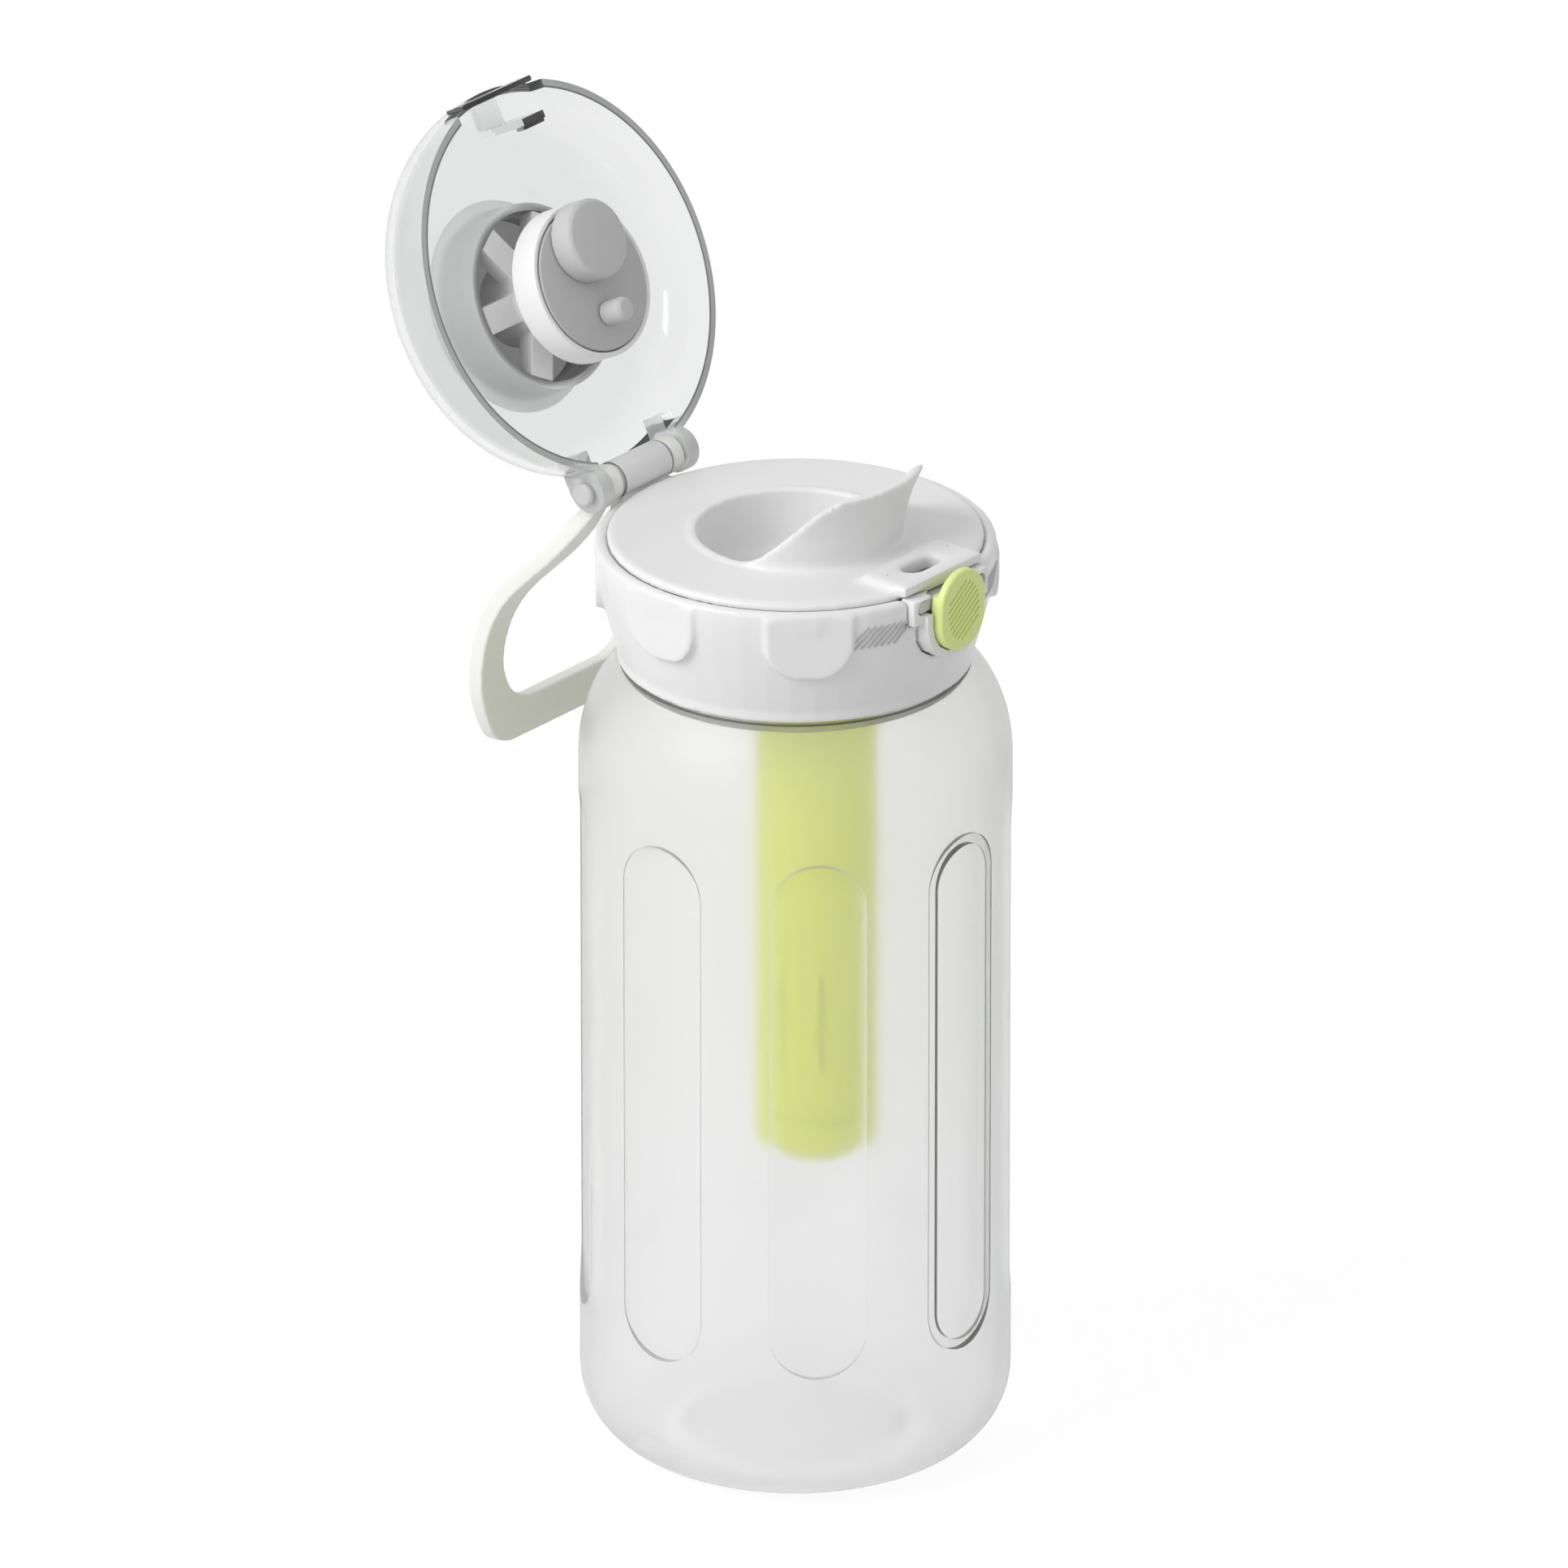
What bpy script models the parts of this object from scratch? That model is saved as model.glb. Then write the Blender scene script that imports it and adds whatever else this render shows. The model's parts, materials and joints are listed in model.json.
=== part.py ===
# Sports water bottle with a flip lid, a drinking spout, a carry loop and an infuser tube.
# Metres, +Z up. The origin is the middle of the flat base. The button faces -Y, the hinge +Y.
# The lid stands open, as the bottle is shown, and everything that lies under it when it is
# shut is sized from the same values.

import math

import bmesh
import bpy
from mathutils import Matrix, Vector

# Running gap between pieces that touch
GAP = 0.0003
# How far a cutter runs past the wall it cuts
OVERRUN = 0.002
# Distance under which points are merged
MERGE = 0.00002
# Fineness of round shapes
BODY_STEPS = 48
CAP_STEPS = 48
SMALL_STEPS = 24
ARC_STEPS = 8
LINE_STEPS = 3

# Bottle body
BODY_RADIUS = 0.045
BODY_WALL = 0.0025
BASE_CORNER = 0.017
SHOULDER_TOP = 0.1760
SHOULDER_DROP = 0.0210
LEDGE_INSET = 0.0005
SHOULDER_CENTRE_SHARE = 0.556
NECK_RADIUS = 0.0335
NECK_HEIGHT = 0.0112
PANEL_COUNT = 8
PANEL_WIDTH = 0.0205
PANEL_BASE = 0.0320
PANEL_END = 0.0070
PANEL_DEPTH = 0.0014
PAD_BORDER = 0.0022

# Cap shell: collar below, wider crown above
COLLAR_WALL = 0.0026
COLLAR_CLEARANCE = 0.0009
COLLAR_GAP = 0.0009
CROWN_STEP = 0.0046
CROWN_RISE = 0.0120
CROWN_WALL = 0.0023
CROWN_CHAMFER = 0.0008
SHELF_WIDTH = 0.0020
CROWN_TAPER_DROP = 0.0038
CROWN_TAPER_POWER = 1.35
TAB_PAD_WIDTH = 0.0185
TAB_PAD_INSET = 0.0003
TAB_PAD_THICKNESS = 0.0028
TAB_PAD_HEIGHT = 0.0134
TAB_PAD_DROP = 0.0015
TAB_PAD_STEP_DEG = 47.0
TAB_PAD_RANKS = 3
PAD_FOOT_SHARE = 0.42

# Deck with its drinking well and spout
DECK_RISE = 0.0013
DECK_PLATE = 0.0020
DECK_CHAMFER = 0.0008
WELL_RADIUS = 0.0205
WELL_WALL = 0.0018
WELL_FLOOR_THICKNESS = 0.0018
WELL_FILLET = 0.0030
SPOUT_RISE = 0.0175
SPOUT_FLARE = 0.0062
SPOUT_REAR_RIM = 0.0005
SPOUT_WALL = 0.0018
SPOUT_START_SHARE = 0.10
DRINK_RADIUS = 0.0070
DRINK_OFFSET = 0.0055
VENT_RADIUS = 0.0016
VENT_OFFSET = 0.0102
TONGUE_WIDTH = 0.0260
TONGUE_BACK_ROOM = 0.0047
TONGUE_INSET = 0.0022
TONGUE_RISE = 0.0017
SLOT_WIDTH = 0.0107
SLOT_DEPTH = 0.0042
SOCKET_WALL = 0.0016
SOCKET_DEPTH = 0.0055

# Seals
GASKET_WIDTH = 0.0022
GASKET_THICKNESS = 0.0017

# Lid
LID_CLEARANCE = 0.0009
LID_WALL = 0.0018
LID_CORNER = 0.0165
LID_OPEN_DEG = 118.0
NOTCH_CLEARANCE = 0.0004
NOTCH_RISE = 0.0015
FLAP_WIDTH = 0.0220
FLAP_INSET = 0.0005
FLAP_THICKNESS = 0.0012
FLAP_LAP = 0.0012
HOOK_WIDTH = 0.0068
HOOK_THICKNESS = 0.0016
HOOK_DEPTH = 0.0070
HOOK_BARB = 0.0008
HOOK_BARB_HEIGHT = 0.0028
HOOK_SHELF = 0.0018

# Plug under the lid
PLUG_OFFSET = 0.0025
PLUG_RADIUS = 0.0165
PLUG_DEPTH = 0.0075
PLUG_DROP = 0.0057
PLUG_RIM = 0.0011
PLUG_STEM_RADIUS = 0.0090
PLUG_TAB_COUNT = 6
PLUG_TAB_WIDTH = 0.0060
PLUG_TAB_HEIGHT = 0.0040
RING_RADIUS = 0.0198
RING_WALL = 0.0016
RING_DEPTH = 0.0100
PAD_THICKNESS = 0.0018
PAD_PROUD = 0.0004
DRINK_PLUG_RADIUS = 0.0085
VENT_PLUG_RADIUS = 0.0026
PLUG_EDGE = 0.0008

# Hinge
HINGE_REACH = 0.0012
HINGE_RISE = 0.0033
HINGE_RADIUS = 0.0040
HINGE_BORE = 0.0014
HINGE_POCKET = 0.0028
HINGE_CHEEK = 0.0015
HINGE_SPACE = 0.0004
BARREL_LENGTH = 0.0154
EYE_LENGTH = 0.0036
EAR_LENGTH = 0.0036
EAR_RADIUS = 0.0046
EAR_ARC_DEG = -165.0
PIN_RADIUS = 0.0012
PIN_HEAD_RADIUS = 0.0025
PIN_HEAD_LENGTH = 0.0012
HINGE_WEB_DROP = 0.0095
HINGE_WEB_REACH = 0.0016
LID_SPRING_WIRE = 0.0006
LID_SPRING_RADIUS = 0.0020
LID_SPRING_TURNS = 7

# Latch and button
HOUSING_CHEEK = 0.0010
HOUSING_WING = 0.0058
HOUSING_INSET = 0.0002
HOUSING_DEPTH = 0.0040
BEZEL_WALL = 0.0018
BEZEL_REACH = 0.0012
BUTTON_WIDTH = 0.0144
BUTTON_HEIGHT = 0.0176
BUTTON_DROP = 0.0047
BUTTON_THICKNESS = 0.0032
BUTTON_EDGE = 0.0007
BUTTON_CLEARANCE = 0.0004
BUTTON_TRAVEL = 0.0016
BUTTON_RELIEF = 0.0016
POCKET_DEPTH = 0.0022
STEM_WIDTH = 0.0068
STEM_HEIGHT = 0.0074
STEM_REACH = 0.0052
SLIDE_THICKNESS = 0.0024
SLIDE_RAIL = 0.0025
SLIDE_BAR_REACH = 0.0035
SLIDE_BAR_DEPTH = 0.0023
SLIDE_BACK_ROOM = 0.0067
SLIDE_WINDOW_SIDE = 0.0011
SLIDE_REAR_BAR = 0.0019
BUTTON_SPRING_WIRE = 0.0005
BUTTON_SPRING_RADIUS = 0.0016
BUTTON_SPRING_TURNS = 6
BUTTON_SPRING_LIFT = 0.0021

# Carry loop: a flat band, drawn flat and then bent down and outwards from the hinge
STRAP_WIDTH = 0.0080
STRAP_THICKNESS = 0.0036
STRAP_EDGE = 0.0011
STRAP_EYE_INSET = 0.0004
LOOP_HALF_WIDTH = 0.0245
LOOP_LENGTH = 0.0610
LOOP_BEND_STEP = 0.0045
# Seen from the side: how far out and how far down, as shares of the band's length
LOOP_SIDE_SHARES = (
    (0.000, 0.000),
    (0.057, 0.131),
    (0.148, 0.262),
    (0.272, 0.415),
    (0.318, 0.561),
    (0.326, 0.710),
    (0.315, 0.836),
    (0.305, 0.984),
)
# Seen from behind: shares of the half width and of the band's end, down the outer edge
LOOP_EYE_END_SHARE = 0.075
LOOP_OUTER_SHARES = (
    (0.500, 0.135),
    (0.630, 0.260),
    (0.830, 0.440),
    (0.945, 0.600),
    (1.000, 0.770),
    (0.965, 0.880),
    (0.860, 0.970),
    (0.700, 1.000),
)
# The same up the inner edge, to where the band's two legs begin
LOOP_INNER_SHARES = (
    (0.620, 1.000),
    (0.860, 0.965),
    (0.985, 0.880),
    (1.000, 0.770),
    (0.900, 0.620),
    (0.720, 0.470),
    (0.480, 0.290),
)
LOOP_LEG_START_SHARE = 0.150

# Infuser tube
TUBE_RADIUS = 0.0126
TUBE_WALL = 0.0013
TUBE_DROP = 0.1215
TUBE_SLOT_COUNT = 8
TUBE_SLOT_WIDTH = 0.0016
TUBE_SLOT_HEIGHT = 0.0220
TUBE_SLOT_BASE = 0.0120
END_CAP_HEIGHT = 0.0090
END_CAP_FLOOR = 0.0016
END_CAP_CORNER = 0.0030
END_HOLE_RADIUS = 0.0012
END_HOLE_COUNT = 6
END_HOLE_RING_SHARE = 0.55
END_HOLE_TURN_SHARE = 0.25
TUBE_SEAL_WIDTH = 0.0011

# Heights worked out from the sizes above, from the bottle's shoulder up
NECK_TOP = SHOULDER_TOP + NECK_HEIGHT
PANEL_HEIGHT = SHOULDER_TOP - SHOULDER_DROP - PANEL_BASE - PANEL_END
FLOOR_UNDER = NECK_TOP + GASKET_THICKNESS + 2 * GAP
WELL_FLOOR = FLOOR_UNDER + WELL_FLOOR_THICKNESS
COLLAR_BOTTOM = SHOULDER_TOP + COLLAR_GAP
CROWN_TOP = WELL_FLOOR + CROWN_RISE
CROWN_TAPER_TOP = CROWN_TOP - CROWN_TAPER_DROP
TAB_PAD_TOP = CROWN_TOP - TAB_PAD_DROP
DECK_TOP = CROWN_TOP + DECK_RISE
DECK_UNDER = DECK_TOP - DECK_PLATE
TONGUE_TOP = DECK_TOP + TONGUE_RISE
BUTTON_CENTRE = CROWN_TOP - BUTTON_DROP
SLIDE_TOP = DECK_UNDER - GAP
SLIDE_UNDER = SLIDE_TOP - SLIDE_THICKNESS
STEM_TOP = SLIDE_UNDER - 2 * GAP
RIM_BOTTOM = CROWN_TOP + GAP
NOTCH_TOP = TONGUE_TOP + NOTCH_RISE
LID_CEILING = DECK_TOP + SPOUT_RISE + LID_CLEARANCE
LID_TOP = LID_CEILING + LID_WALL
PLUG_FACE = RIM_BOTTOM - PLUG_DROP
HINGE_Z = CROWN_TOP + HINGE_RISE
TUBE_BOTTOM = FLOOR_UNDER - TUBE_DROP

# Radii and depths, from the neck outwards
COLLAR_BORE = NECK_RADIUS + COLLAR_CLEARANCE
COLLAR_RADIUS = COLLAR_BORE + COLLAR_WALL
LEDGE_RADIUS = COLLAR_RADIUS - LEDGE_INSET
CROWN_RADIUS = COLLAR_RADIUS + CROWN_STEP
CROWN_BORE = CROWN_RADIUS - CROWN_WALL
TAB_PAD_ROOT = CROWN_RADIUS - TAB_PAD_INSET - TAB_PAD_THICKNESS
DECK_RADIUS = CROWN_BORE - GAP
WELL_OUTSIDE = WELL_RADIUS + WELL_WALL
TONGUE_FRONT = CROWN_RADIUS - TONGUE_INSET
TONGUE_BACK = WELL_OUTSIDE + TONGUE_BACK_ROOM
LATCH_SLOT_Y = -(TONGUE_FRONT + TONGUE_BACK) / 2
HOUSING_FRONT = CROWN_RADIUS - HOUSING_INSET
HOUSING_BACK = HOUSING_FRONT - HOUSING_DEPTH
BUTTON_BACK = HOUSING_FRONT
POCKET_BOTTOM = HOUSING_FRONT - POCKET_DEPTH
STEM_END = BUTTON_BACK - STEM_REACH
SLIDE_BACK = WELL_OUTSIDE + SLIDE_BACK_ROOM
FLAP_FRONT = CROWN_RADIUS - FLAP_INSET
HINGE_Y = CROWN_RADIUS + HINGE_REACH

# Widths across the latch, and places along the hinge
SLIDE_WINDOW_WIDTH = HOOK_WIDTH + 2 * SLIDE_WINDOW_SIDE
SLIDE_WIDTH = SLIDE_WINDOW_WIDTH + 2 * SLIDE_RAIL
SLIDE_BAR_WIDTH = BUTTON_WIDTH + 2 * SLIDE_BAR_REACH
HOUSING_WIDTH = SLIDE_BAR_WIDTH + 2 * (BUTTON_CLEARANCE + HOUSING_CHEEK)
NOTCH_WIDTH = TONGUE_WIDTH + 2 * NOTCH_CLEARANCE
EYE_START = BARREL_LENGTH / 2 + HINGE_SPACE
EAR_START = EYE_START + EYE_LENGTH + HINGE_SPACE
PIN_END = EAR_START + EAR_LENGTH + HINGE_SPACE

WHITE = (0.90, 0.90, 0.89, 1.0)
LIGHT_GREY = (0.72, 0.73, 0.73, 1.0)
SILICONE = (0.62, 0.62, 0.62, 1.0)
GREEN = (0.70, 0.80, 0.30, 1.0)
FROST = (0.86, 0.89, 0.88, 1.0)
CLEAR = (0.80, 0.86, 0.84, 1.0)
STEEL = (0.62, 0.63, 0.65, 1.0)


def start_clean():
    for item in list(bpy.data.objects):
        bpy.data.objects.remove(item, do_unlink=True)
    for group in list(bpy.data.collections):
        bpy.data.collections.remove(group)


def new_collection(name):
    group = bpy.data.collections.new(name)
    bpy.context.scene.collection.children.link(group)
    return group


start_clean()
PARTS = new_collection("sports_water_bottle")
CUTTERS = new_collection("cutters")


def material(name, colour, roughness, metallic=0.0):
    made = bpy.data.materials.new(name)
    made.use_nodes = True
    shader = made.node_tree.nodes["Principled BSDF"]
    shader.inputs["Base Color"].default_value = colour
    shader.inputs["Roughness"].default_value = roughness
    shader.inputs["Metallic"].default_value = metallic
    return made


def place(obj, group):
    for old in list(obj.users_collection):
        old.objects.unlink(obj)
    group.objects.link(obj)
    return obj


def as_part(obj, name, colour, roughness, metallic=0.0):
    obj.name = name
    obj.data.name = name
    obj.data.materials.clear()
    obj.data.materials.append(material(name, colour, roughness, metallic))
    place(obj, PARTS)
    return obj


def as_cutter(obj, name):
    obj.name = name
    obj.hide_render = True
    obj.display_type = "WIRE"
    place(obj, CUTTERS)
    return obj


def boolean(target, other, operation):
    # The other object becomes a guide that only this modifier reads.
    as_cutter(other, other.name)
    mod = target.modifiers.new(operation.lower(), "BOOLEAN")
    mod.operation = operation
    mod.solver = "EXACT"
    mod.object = other
    return mod


def cut(target, other):
    return boolean(target, other, "DIFFERENCE")


def join(target, other):
    return boolean(target, other, "UNION")


def turned(name, profile, steps, closed=False, location=(0, 0, 0), along_x=False):
    # A profile of (radius, height) points, turned about Z or, where asked, about X.
    mesh = bpy.data.meshes.new(name)
    count = len(profile)
    edges = [(i, i + 1) for i in range(count - 1)]
    if closed:
        edges.append((count - 1, 0))
    mesh.from_pydata([(r, 0, z) for r, z in profile], edges, [])
    obj = bpy.data.objects.new(name, mesh)
    place(obj, PARTS)
    screw = obj.modifiers.new("turn", "SCREW")
    screw.steps = steps
    screw.render_steps = steps
    screw.use_merge_vertices = True
    screw.merge_threshold = MERGE
    screw.use_smooth_shade = True
    obj.location = location
    if along_x:
        obj.rotation_euler = (0, math.pi / 2, 0)
    return obj


def ring(name, inner, outer, bottom, top, steps, location=(0, 0, 0), along_x=False):
    profile = [(inner, top), (outer, top), (outer, bottom), (inner, bottom)]
    return turned(name, profile, steps, True, location, along_x)


def disc(name, radius, bottom, top, steps, location=(0, 0, 0), along_x=False, edge=0.0):
    # A solid round piece, with its lower outer edge chamfered where an edge is given.
    profile = [(0, top), (radius, top), (radius, bottom + edge)]
    if edge > 0:
        profile.append((radius - edge, bottom))
    profile.append((0, bottom))
    return turned(name, profile, steps, False, location, along_x)


def block(name, low, high):
    bpy.ops.mesh.primitive_cube_add(size=1)
    obj = bpy.context.active_object
    size = [b - a for a, b in zip(low, high)]
    middle = [(a + b) / 2 for a, b in zip(low, high)]
    obj.data.transform(Matrix.Diagonal((*size, 1)))
    obj.data.transform(Matrix.Translation(middle))
    obj.name = name
    return place(obj, PARTS)


def bevel(obj, width, segments=2, angle_deg=40.0):
    mod = obj.modifiers.new("edges", "BEVEL")
    mod.width = width
    mod.segments = segments
    mod.limit_method = "ANGLE"
    mod.angle_limit = math.radians(angle_deg)
    return mod


def pill_points(width, height, steps=ARC_STEPS):
    # A stadium outline about the middle, its round ends on the longer axis.
    radius = min(width, height) / 2
    reach_x = width / 2 - radius
    reach_y = height / 2 - radius
    points = []
    for corner in range(2):
        turn = math.pi * corner
        if height >= width:
            centre = Vector((0, reach_y if corner == 0 else -reach_y))
            start = turn
        else:
            centre = Vector((-reach_x if corner == 0 else reach_x, 0))
            start = turn + math.pi / 2
        for step in range(steps + 1):
            angle = start + math.pi * step / steps
            points.append(centre + radius * Vector((math.cos(angle), math.sin(angle))))
    return points


def foot_points(width, height):
    # An upright outline from 0 up: square at the top and rounded at the foot.
    radius = width * PAD_FOOT_SHARE
    reach = width / 2 - radius
    points = [(width / 2, height), (-width / 2, height)]
    points += arc(-reach, radius, radius, radius, 180, 270, ARC_STEPS)
    points += arc(reach, radius, radius, radius, 270, 360, ARC_STEPS)
    return points


def flat_shape(name, outlines, thickness):
    # Outlines lie in XZ when the shape stands upright; its thickness is along Y.
    curve = bpy.data.curves.new(name, "CURVE")
    curve.dimensions = "2D"
    curve.fill_mode = "BOTH"
    curve.extrude = thickness / 2
    for outline in outlines:
        spline = curve.splines.new("POLY")
        spline.points.add(len(outline) - 1)
        for point, place_at in zip(spline.points, outline):
            point.co = (place_at[0], place_at[1], 0, 1)
        spline.use_cyclic_u = True
    guide = bpy.data.objects.new(name, curve)
    PARTS.objects.link(guide)
    obj = curve_to_mesh(guide, name)
    obj.data.transform(Matrix.Rotation(math.pi / 2, 4, "X"))
    return obj


def side_shape(name, outlines, width):
    # Outlines of (y, z) points seen from the side, with the width along X.
    obj = flat_shape(name, outlines, width)
    obj.data.transform(Matrix.Rotation(math.pi / 2, 4, "Z"))
    return obj


def curve_to_mesh(guide, name):
    bpy.context.view_layer.update()
    graph = bpy.context.evaluated_depsgraph_get()
    mesh = bpy.data.meshes.new_from_object(guide.evaluated_get(graph))
    obj = bpy.data.objects.new(name, mesh)
    obj.matrix_world = guide.matrix_world
    bpy.data.objects.remove(guide, do_unlink=True)
    work = bmesh.new()
    work.from_mesh(mesh)
    bmesh.ops.remove_doubles(work, verts=work.verts, dist=MERGE)
    open_edges = [edge for edge in work.edges if edge.is_boundary]
    bmesh.ops.holes_fill(work, edges=open_edges)
    bmesh.ops.recalc_face_normals(work, faces=work.faces)
    work.to_mesh(mesh)
    work.free()
    PARTS.objects.link(obj)
    return obj


def moved(obj, x=0.0, y=0.0, z=0.0):
    obj.data.transform(Matrix.Translation((x, y, z)))
    return obj


def coil(name, radius, wire, length, turns):
    # A wire coil about Z, from 0 to its length, with flat capped ends.
    per_turn = 12
    curve = bpy.data.curves.new(name, "CURVE")
    curve.dimensions = "3D"
    curve.bevel_depth = wire / 2
    curve.bevel_resolution = 1
    curve.use_fill_caps = True
    spline = curve.splines.new("POLY")
    count = turns * per_turn
    spline.points.add(count)
    start = wire / 2
    rise = length - wire
    for index, point in enumerate(spline.points):
        angle = math.tau * index / per_turn
        height = start + rise * index / count
        point.co = (radius * math.cos(angle), radius * math.sin(angle), height, 1)
    guide = bpy.data.objects.new(name, curve)
    PARTS.objects.link(guide)
    return curve_to_mesh(guide, name)


def arc(centre_r, centre_z, radius_r, radius_z, start_deg, end_deg, steps):
    points = []
    for step in range(steps + 1):
        angle = math.radians(start_deg + (end_deg - start_deg) * step / steps)
        points.append((centre_r + radius_r * math.cos(angle), centre_z + radius_z * math.sin(angle)))
    return points


# Bottle body


def body_profile():
    centre = BODY_RADIUS * SHOULDER_CENTRE_SHARE
    reach = BODY_RADIUS - centre
    start = math.degrees(math.acos((LEDGE_RADIUS - centre) / reach))
    rise = SHOULDER_DROP / math.sin(math.radians(start))
    low = SHOULDER_TOP - SHOULDER_DROP
    points = [(NECK_RADIUS, NECK_TOP), (NECK_RADIUS, SHOULDER_TOP)]
    points += arc(centre, low, reach, rise, start, 0, ARC_STEPS)
    points += arc(BODY_RADIUS - BASE_CORNER, BASE_CORNER, BASE_CORNER, BASE_CORNER, 0, -90, ARC_STEPS)
    points.append((0, 0))
    return points


def panel_cutter(name, outlines):
    depth = PANEL_DEPTH + OVERRUN
    cutter = flat_shape(name, outlines, depth)
    middle = PANEL_BASE + PANEL_HEIGHT / 2
    return moved(cutter, y=-(BODY_RADIUS - PANEL_DEPTH + depth / 2), z=middle)


def make_body():
    body = turned("bottle_body", body_profile(), BODY_STEPS)
    shell = body.modifiers.new("wall", "SOLIDIFY")
    shell.thickness = BODY_WALL
    shell.offset = -1
    shell.use_even_offset = True
    outline = pill_points(PANEL_WIDTH, PANEL_HEIGHT)
    inner = pill_points(PANEL_WIDTH - 2 * PAD_BORDER, PANEL_HEIGHT - 2 * PAD_BORDER)
    for index in range(PANEL_COUNT):
        outlines = [outline, inner] if index == 0 else [outline]
        cutter = panel_cutter(f"panel_cutter_{index}", outlines)
        cutter.rotation_euler = (0, 0, math.tau * index / PANEL_COUNT)
        cut(body, cutter)
    return as_part(body, "bottle_body", FROST, 0.35)


# Cap shell with its collar, crown, finger pads and hinge barrel


def crown_taper():
    # The crown's foot runs into the collar in one smooth slope.
    low = COLLAR_BOTTOM + CROWN_WALL
    points = []
    for step in range(ARC_STEPS + 1):
        t = step / ARC_STEPS
        radius = CROWN_RADIUS - (CROWN_RADIUS - COLLAR_RADIUS) * t ** CROWN_TAPER_POWER
        points.append((radius, CROWN_TAPER_TOP - (CROWN_TAPER_TOP - low) * t))
    return points


def shell_profile():
    return (
        [
            (CROWN_BORE, CROWN_TOP),
            (CROWN_RADIUS - CROWN_CHAMFER, CROWN_TOP),
            (CROWN_RADIUS, CROWN_TOP - CROWN_CHAMFER),
        ]
        + crown_taper()
        + [
            (COLLAR_RADIUS, COLLAR_BOTTOM),
            (COLLAR_BORE, COLLAR_BOTTOM),
            (COLLAR_BORE, WELL_FLOOR + CROWN_WALL),
            (CROWN_BORE - SHELF_WIDTH, WELL_FLOOR + CROWN_WALL + CROWN_WALL),
            (CROWN_BORE - SHELF_WIDTH, DECK_UNDER - GAP),
            (CROWN_BORE, DECK_UNDER - GAP),
        ]
    )


def add_tab_pads(shell):
    # Flat pads hang round the crown and stop in a rounded foot above the collar.
    for side in (-1, 1):
        for rank in range(1, TAB_PAD_RANKS + 1):
            outline = foot_points(TAB_PAD_WIDTH, TAB_PAD_HEIGHT)
            pad = flat_shape(f"pad_{side}_{rank}", [outline], TAB_PAD_THICKNESS)
            moved(pad, y=-(TAB_PAD_ROOT + TAB_PAD_THICKNESS / 2), z=TAB_PAD_TOP - TAB_PAD_HEIGHT)
            bevel(pad, CROWN_CHAMFER / 2, 1)
            pad.rotation_euler = (0, 0, math.radians(side * rank * TAB_PAD_STEP_DEG))
            join(shell, pad)


def make_barrel(name, bore):
    # The middle barrel has a wider pocket inside for the coil spring.
    half = BARREL_LENGTH / 2
    cheek = half - HINGE_CHEEK
    profile = [
        (bore, half),
        (HINGE_RADIUS, half),
        (HINGE_RADIUS, -half),
        (bore, -half),
        (bore, -cheek),
        (HINGE_POCKET, -cheek),
        (HINGE_POCKET, cheek),
        (bore, cheek),
    ]
    return turned(name, profile, SMALL_STEPS, True, (0, HINGE_Y, HINGE_Z), True)


def make_shell():
    shell = turned("cap_shell", shell_profile(), CAP_STEPS, True)
    web_low = CROWN_TOP - HINGE_WEB_DROP
    half = BARREL_LENGTH / 2
    web_half = half - CROWN_CHAMFER
    web = block(
        "hinge_web",
        (-web_half, CROWN_RADIUS - CROWN_WALL / 2, web_low),
        (web_half, HINGE_Y + HINGE_WEB_REACH, HINGE_Z - HINGE_RADIUS / 2),
    )
    bevel(web, CROWN_CHAMFER)
    join(shell, web)
    hole = disc("hinge_bore", HINGE_RADIUS - CROWN_CHAMFER, -half - OVERRUN, half + OVERRUN,
                SMALL_STEPS, (0, HINGE_Y, HINGE_Z), True)
    cut(shell, hole)
    join(shell, make_barrel("hinge_barrel", HINGE_BORE))
    add_tab_pads(shell)
    for opening in housing_outline("latch_opening", GAP, CROWN_RADIUS + OVERRUN + OVERRUN,
                                   HOUSING_BACK - OVERRUN - OVERRUN, CROWN_TOP + OVERRUN):
        cut(shell, opening)
    return as_part(shell, "cap_shell", WHITE, 0.4)


# Deck, drinking well, spout and latch tongue


def spout_height(y):
    # Height of the lip over the deck as a smooth S from the well's side to its front.
    start = -WELL_RADIUS * SPOUT_START_SHARE
    end = -(WELL_RADIUS + SPOUT_FLARE)
    t = min(max((y - start) / (end - start), 0), 1)
    return SPOUT_REAR_RIM + (SPOUT_RISE - SPOUT_REAR_RIM) * t * t * (3 - 2 * t)


def deck_profile():
    steps = ARC_STEPS
    points = [(0, WELL_FLOOR), (WELL_RADIUS - WELL_FILLET, WELL_FLOOR)]
    points += arc(WELL_RADIUS - WELL_FILLET, WELL_FLOOR + WELL_FILLET,
                  WELL_FILLET, WELL_FILLET, -90, 0, 3)[1:]
    inner = []
    outer = []
    top = SPOUT_RISE + OVERRUN
    for step in range(steps + 1):
        t = step / steps
        flare = SPOUT_FLARE * t * t
        inner.append((WELL_RADIUS + flare, DECK_TOP + top * t))
        outer.append((WELL_RADIUS + SPOUT_WALL + flare, DECK_TOP + top * t))
    points += inner
    points += list(reversed(outer))
    points += [
        (DECK_RADIUS - DECK_CHAMFER, DECK_TOP),
        (DECK_RADIUS, DECK_TOP - DECK_CHAMFER),
        (DECK_RADIUS, DECK_UNDER),
        (WELL_OUTSIDE, DECK_UNDER),
        (WELL_OUTSIDE, WELL_FLOOR),
        (NECK_RADIUS, WELL_FLOOR),
        (NECK_RADIUS, FLOOR_UNDER),
        (0, FLOOR_UNDER),
    ]
    return points


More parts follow.
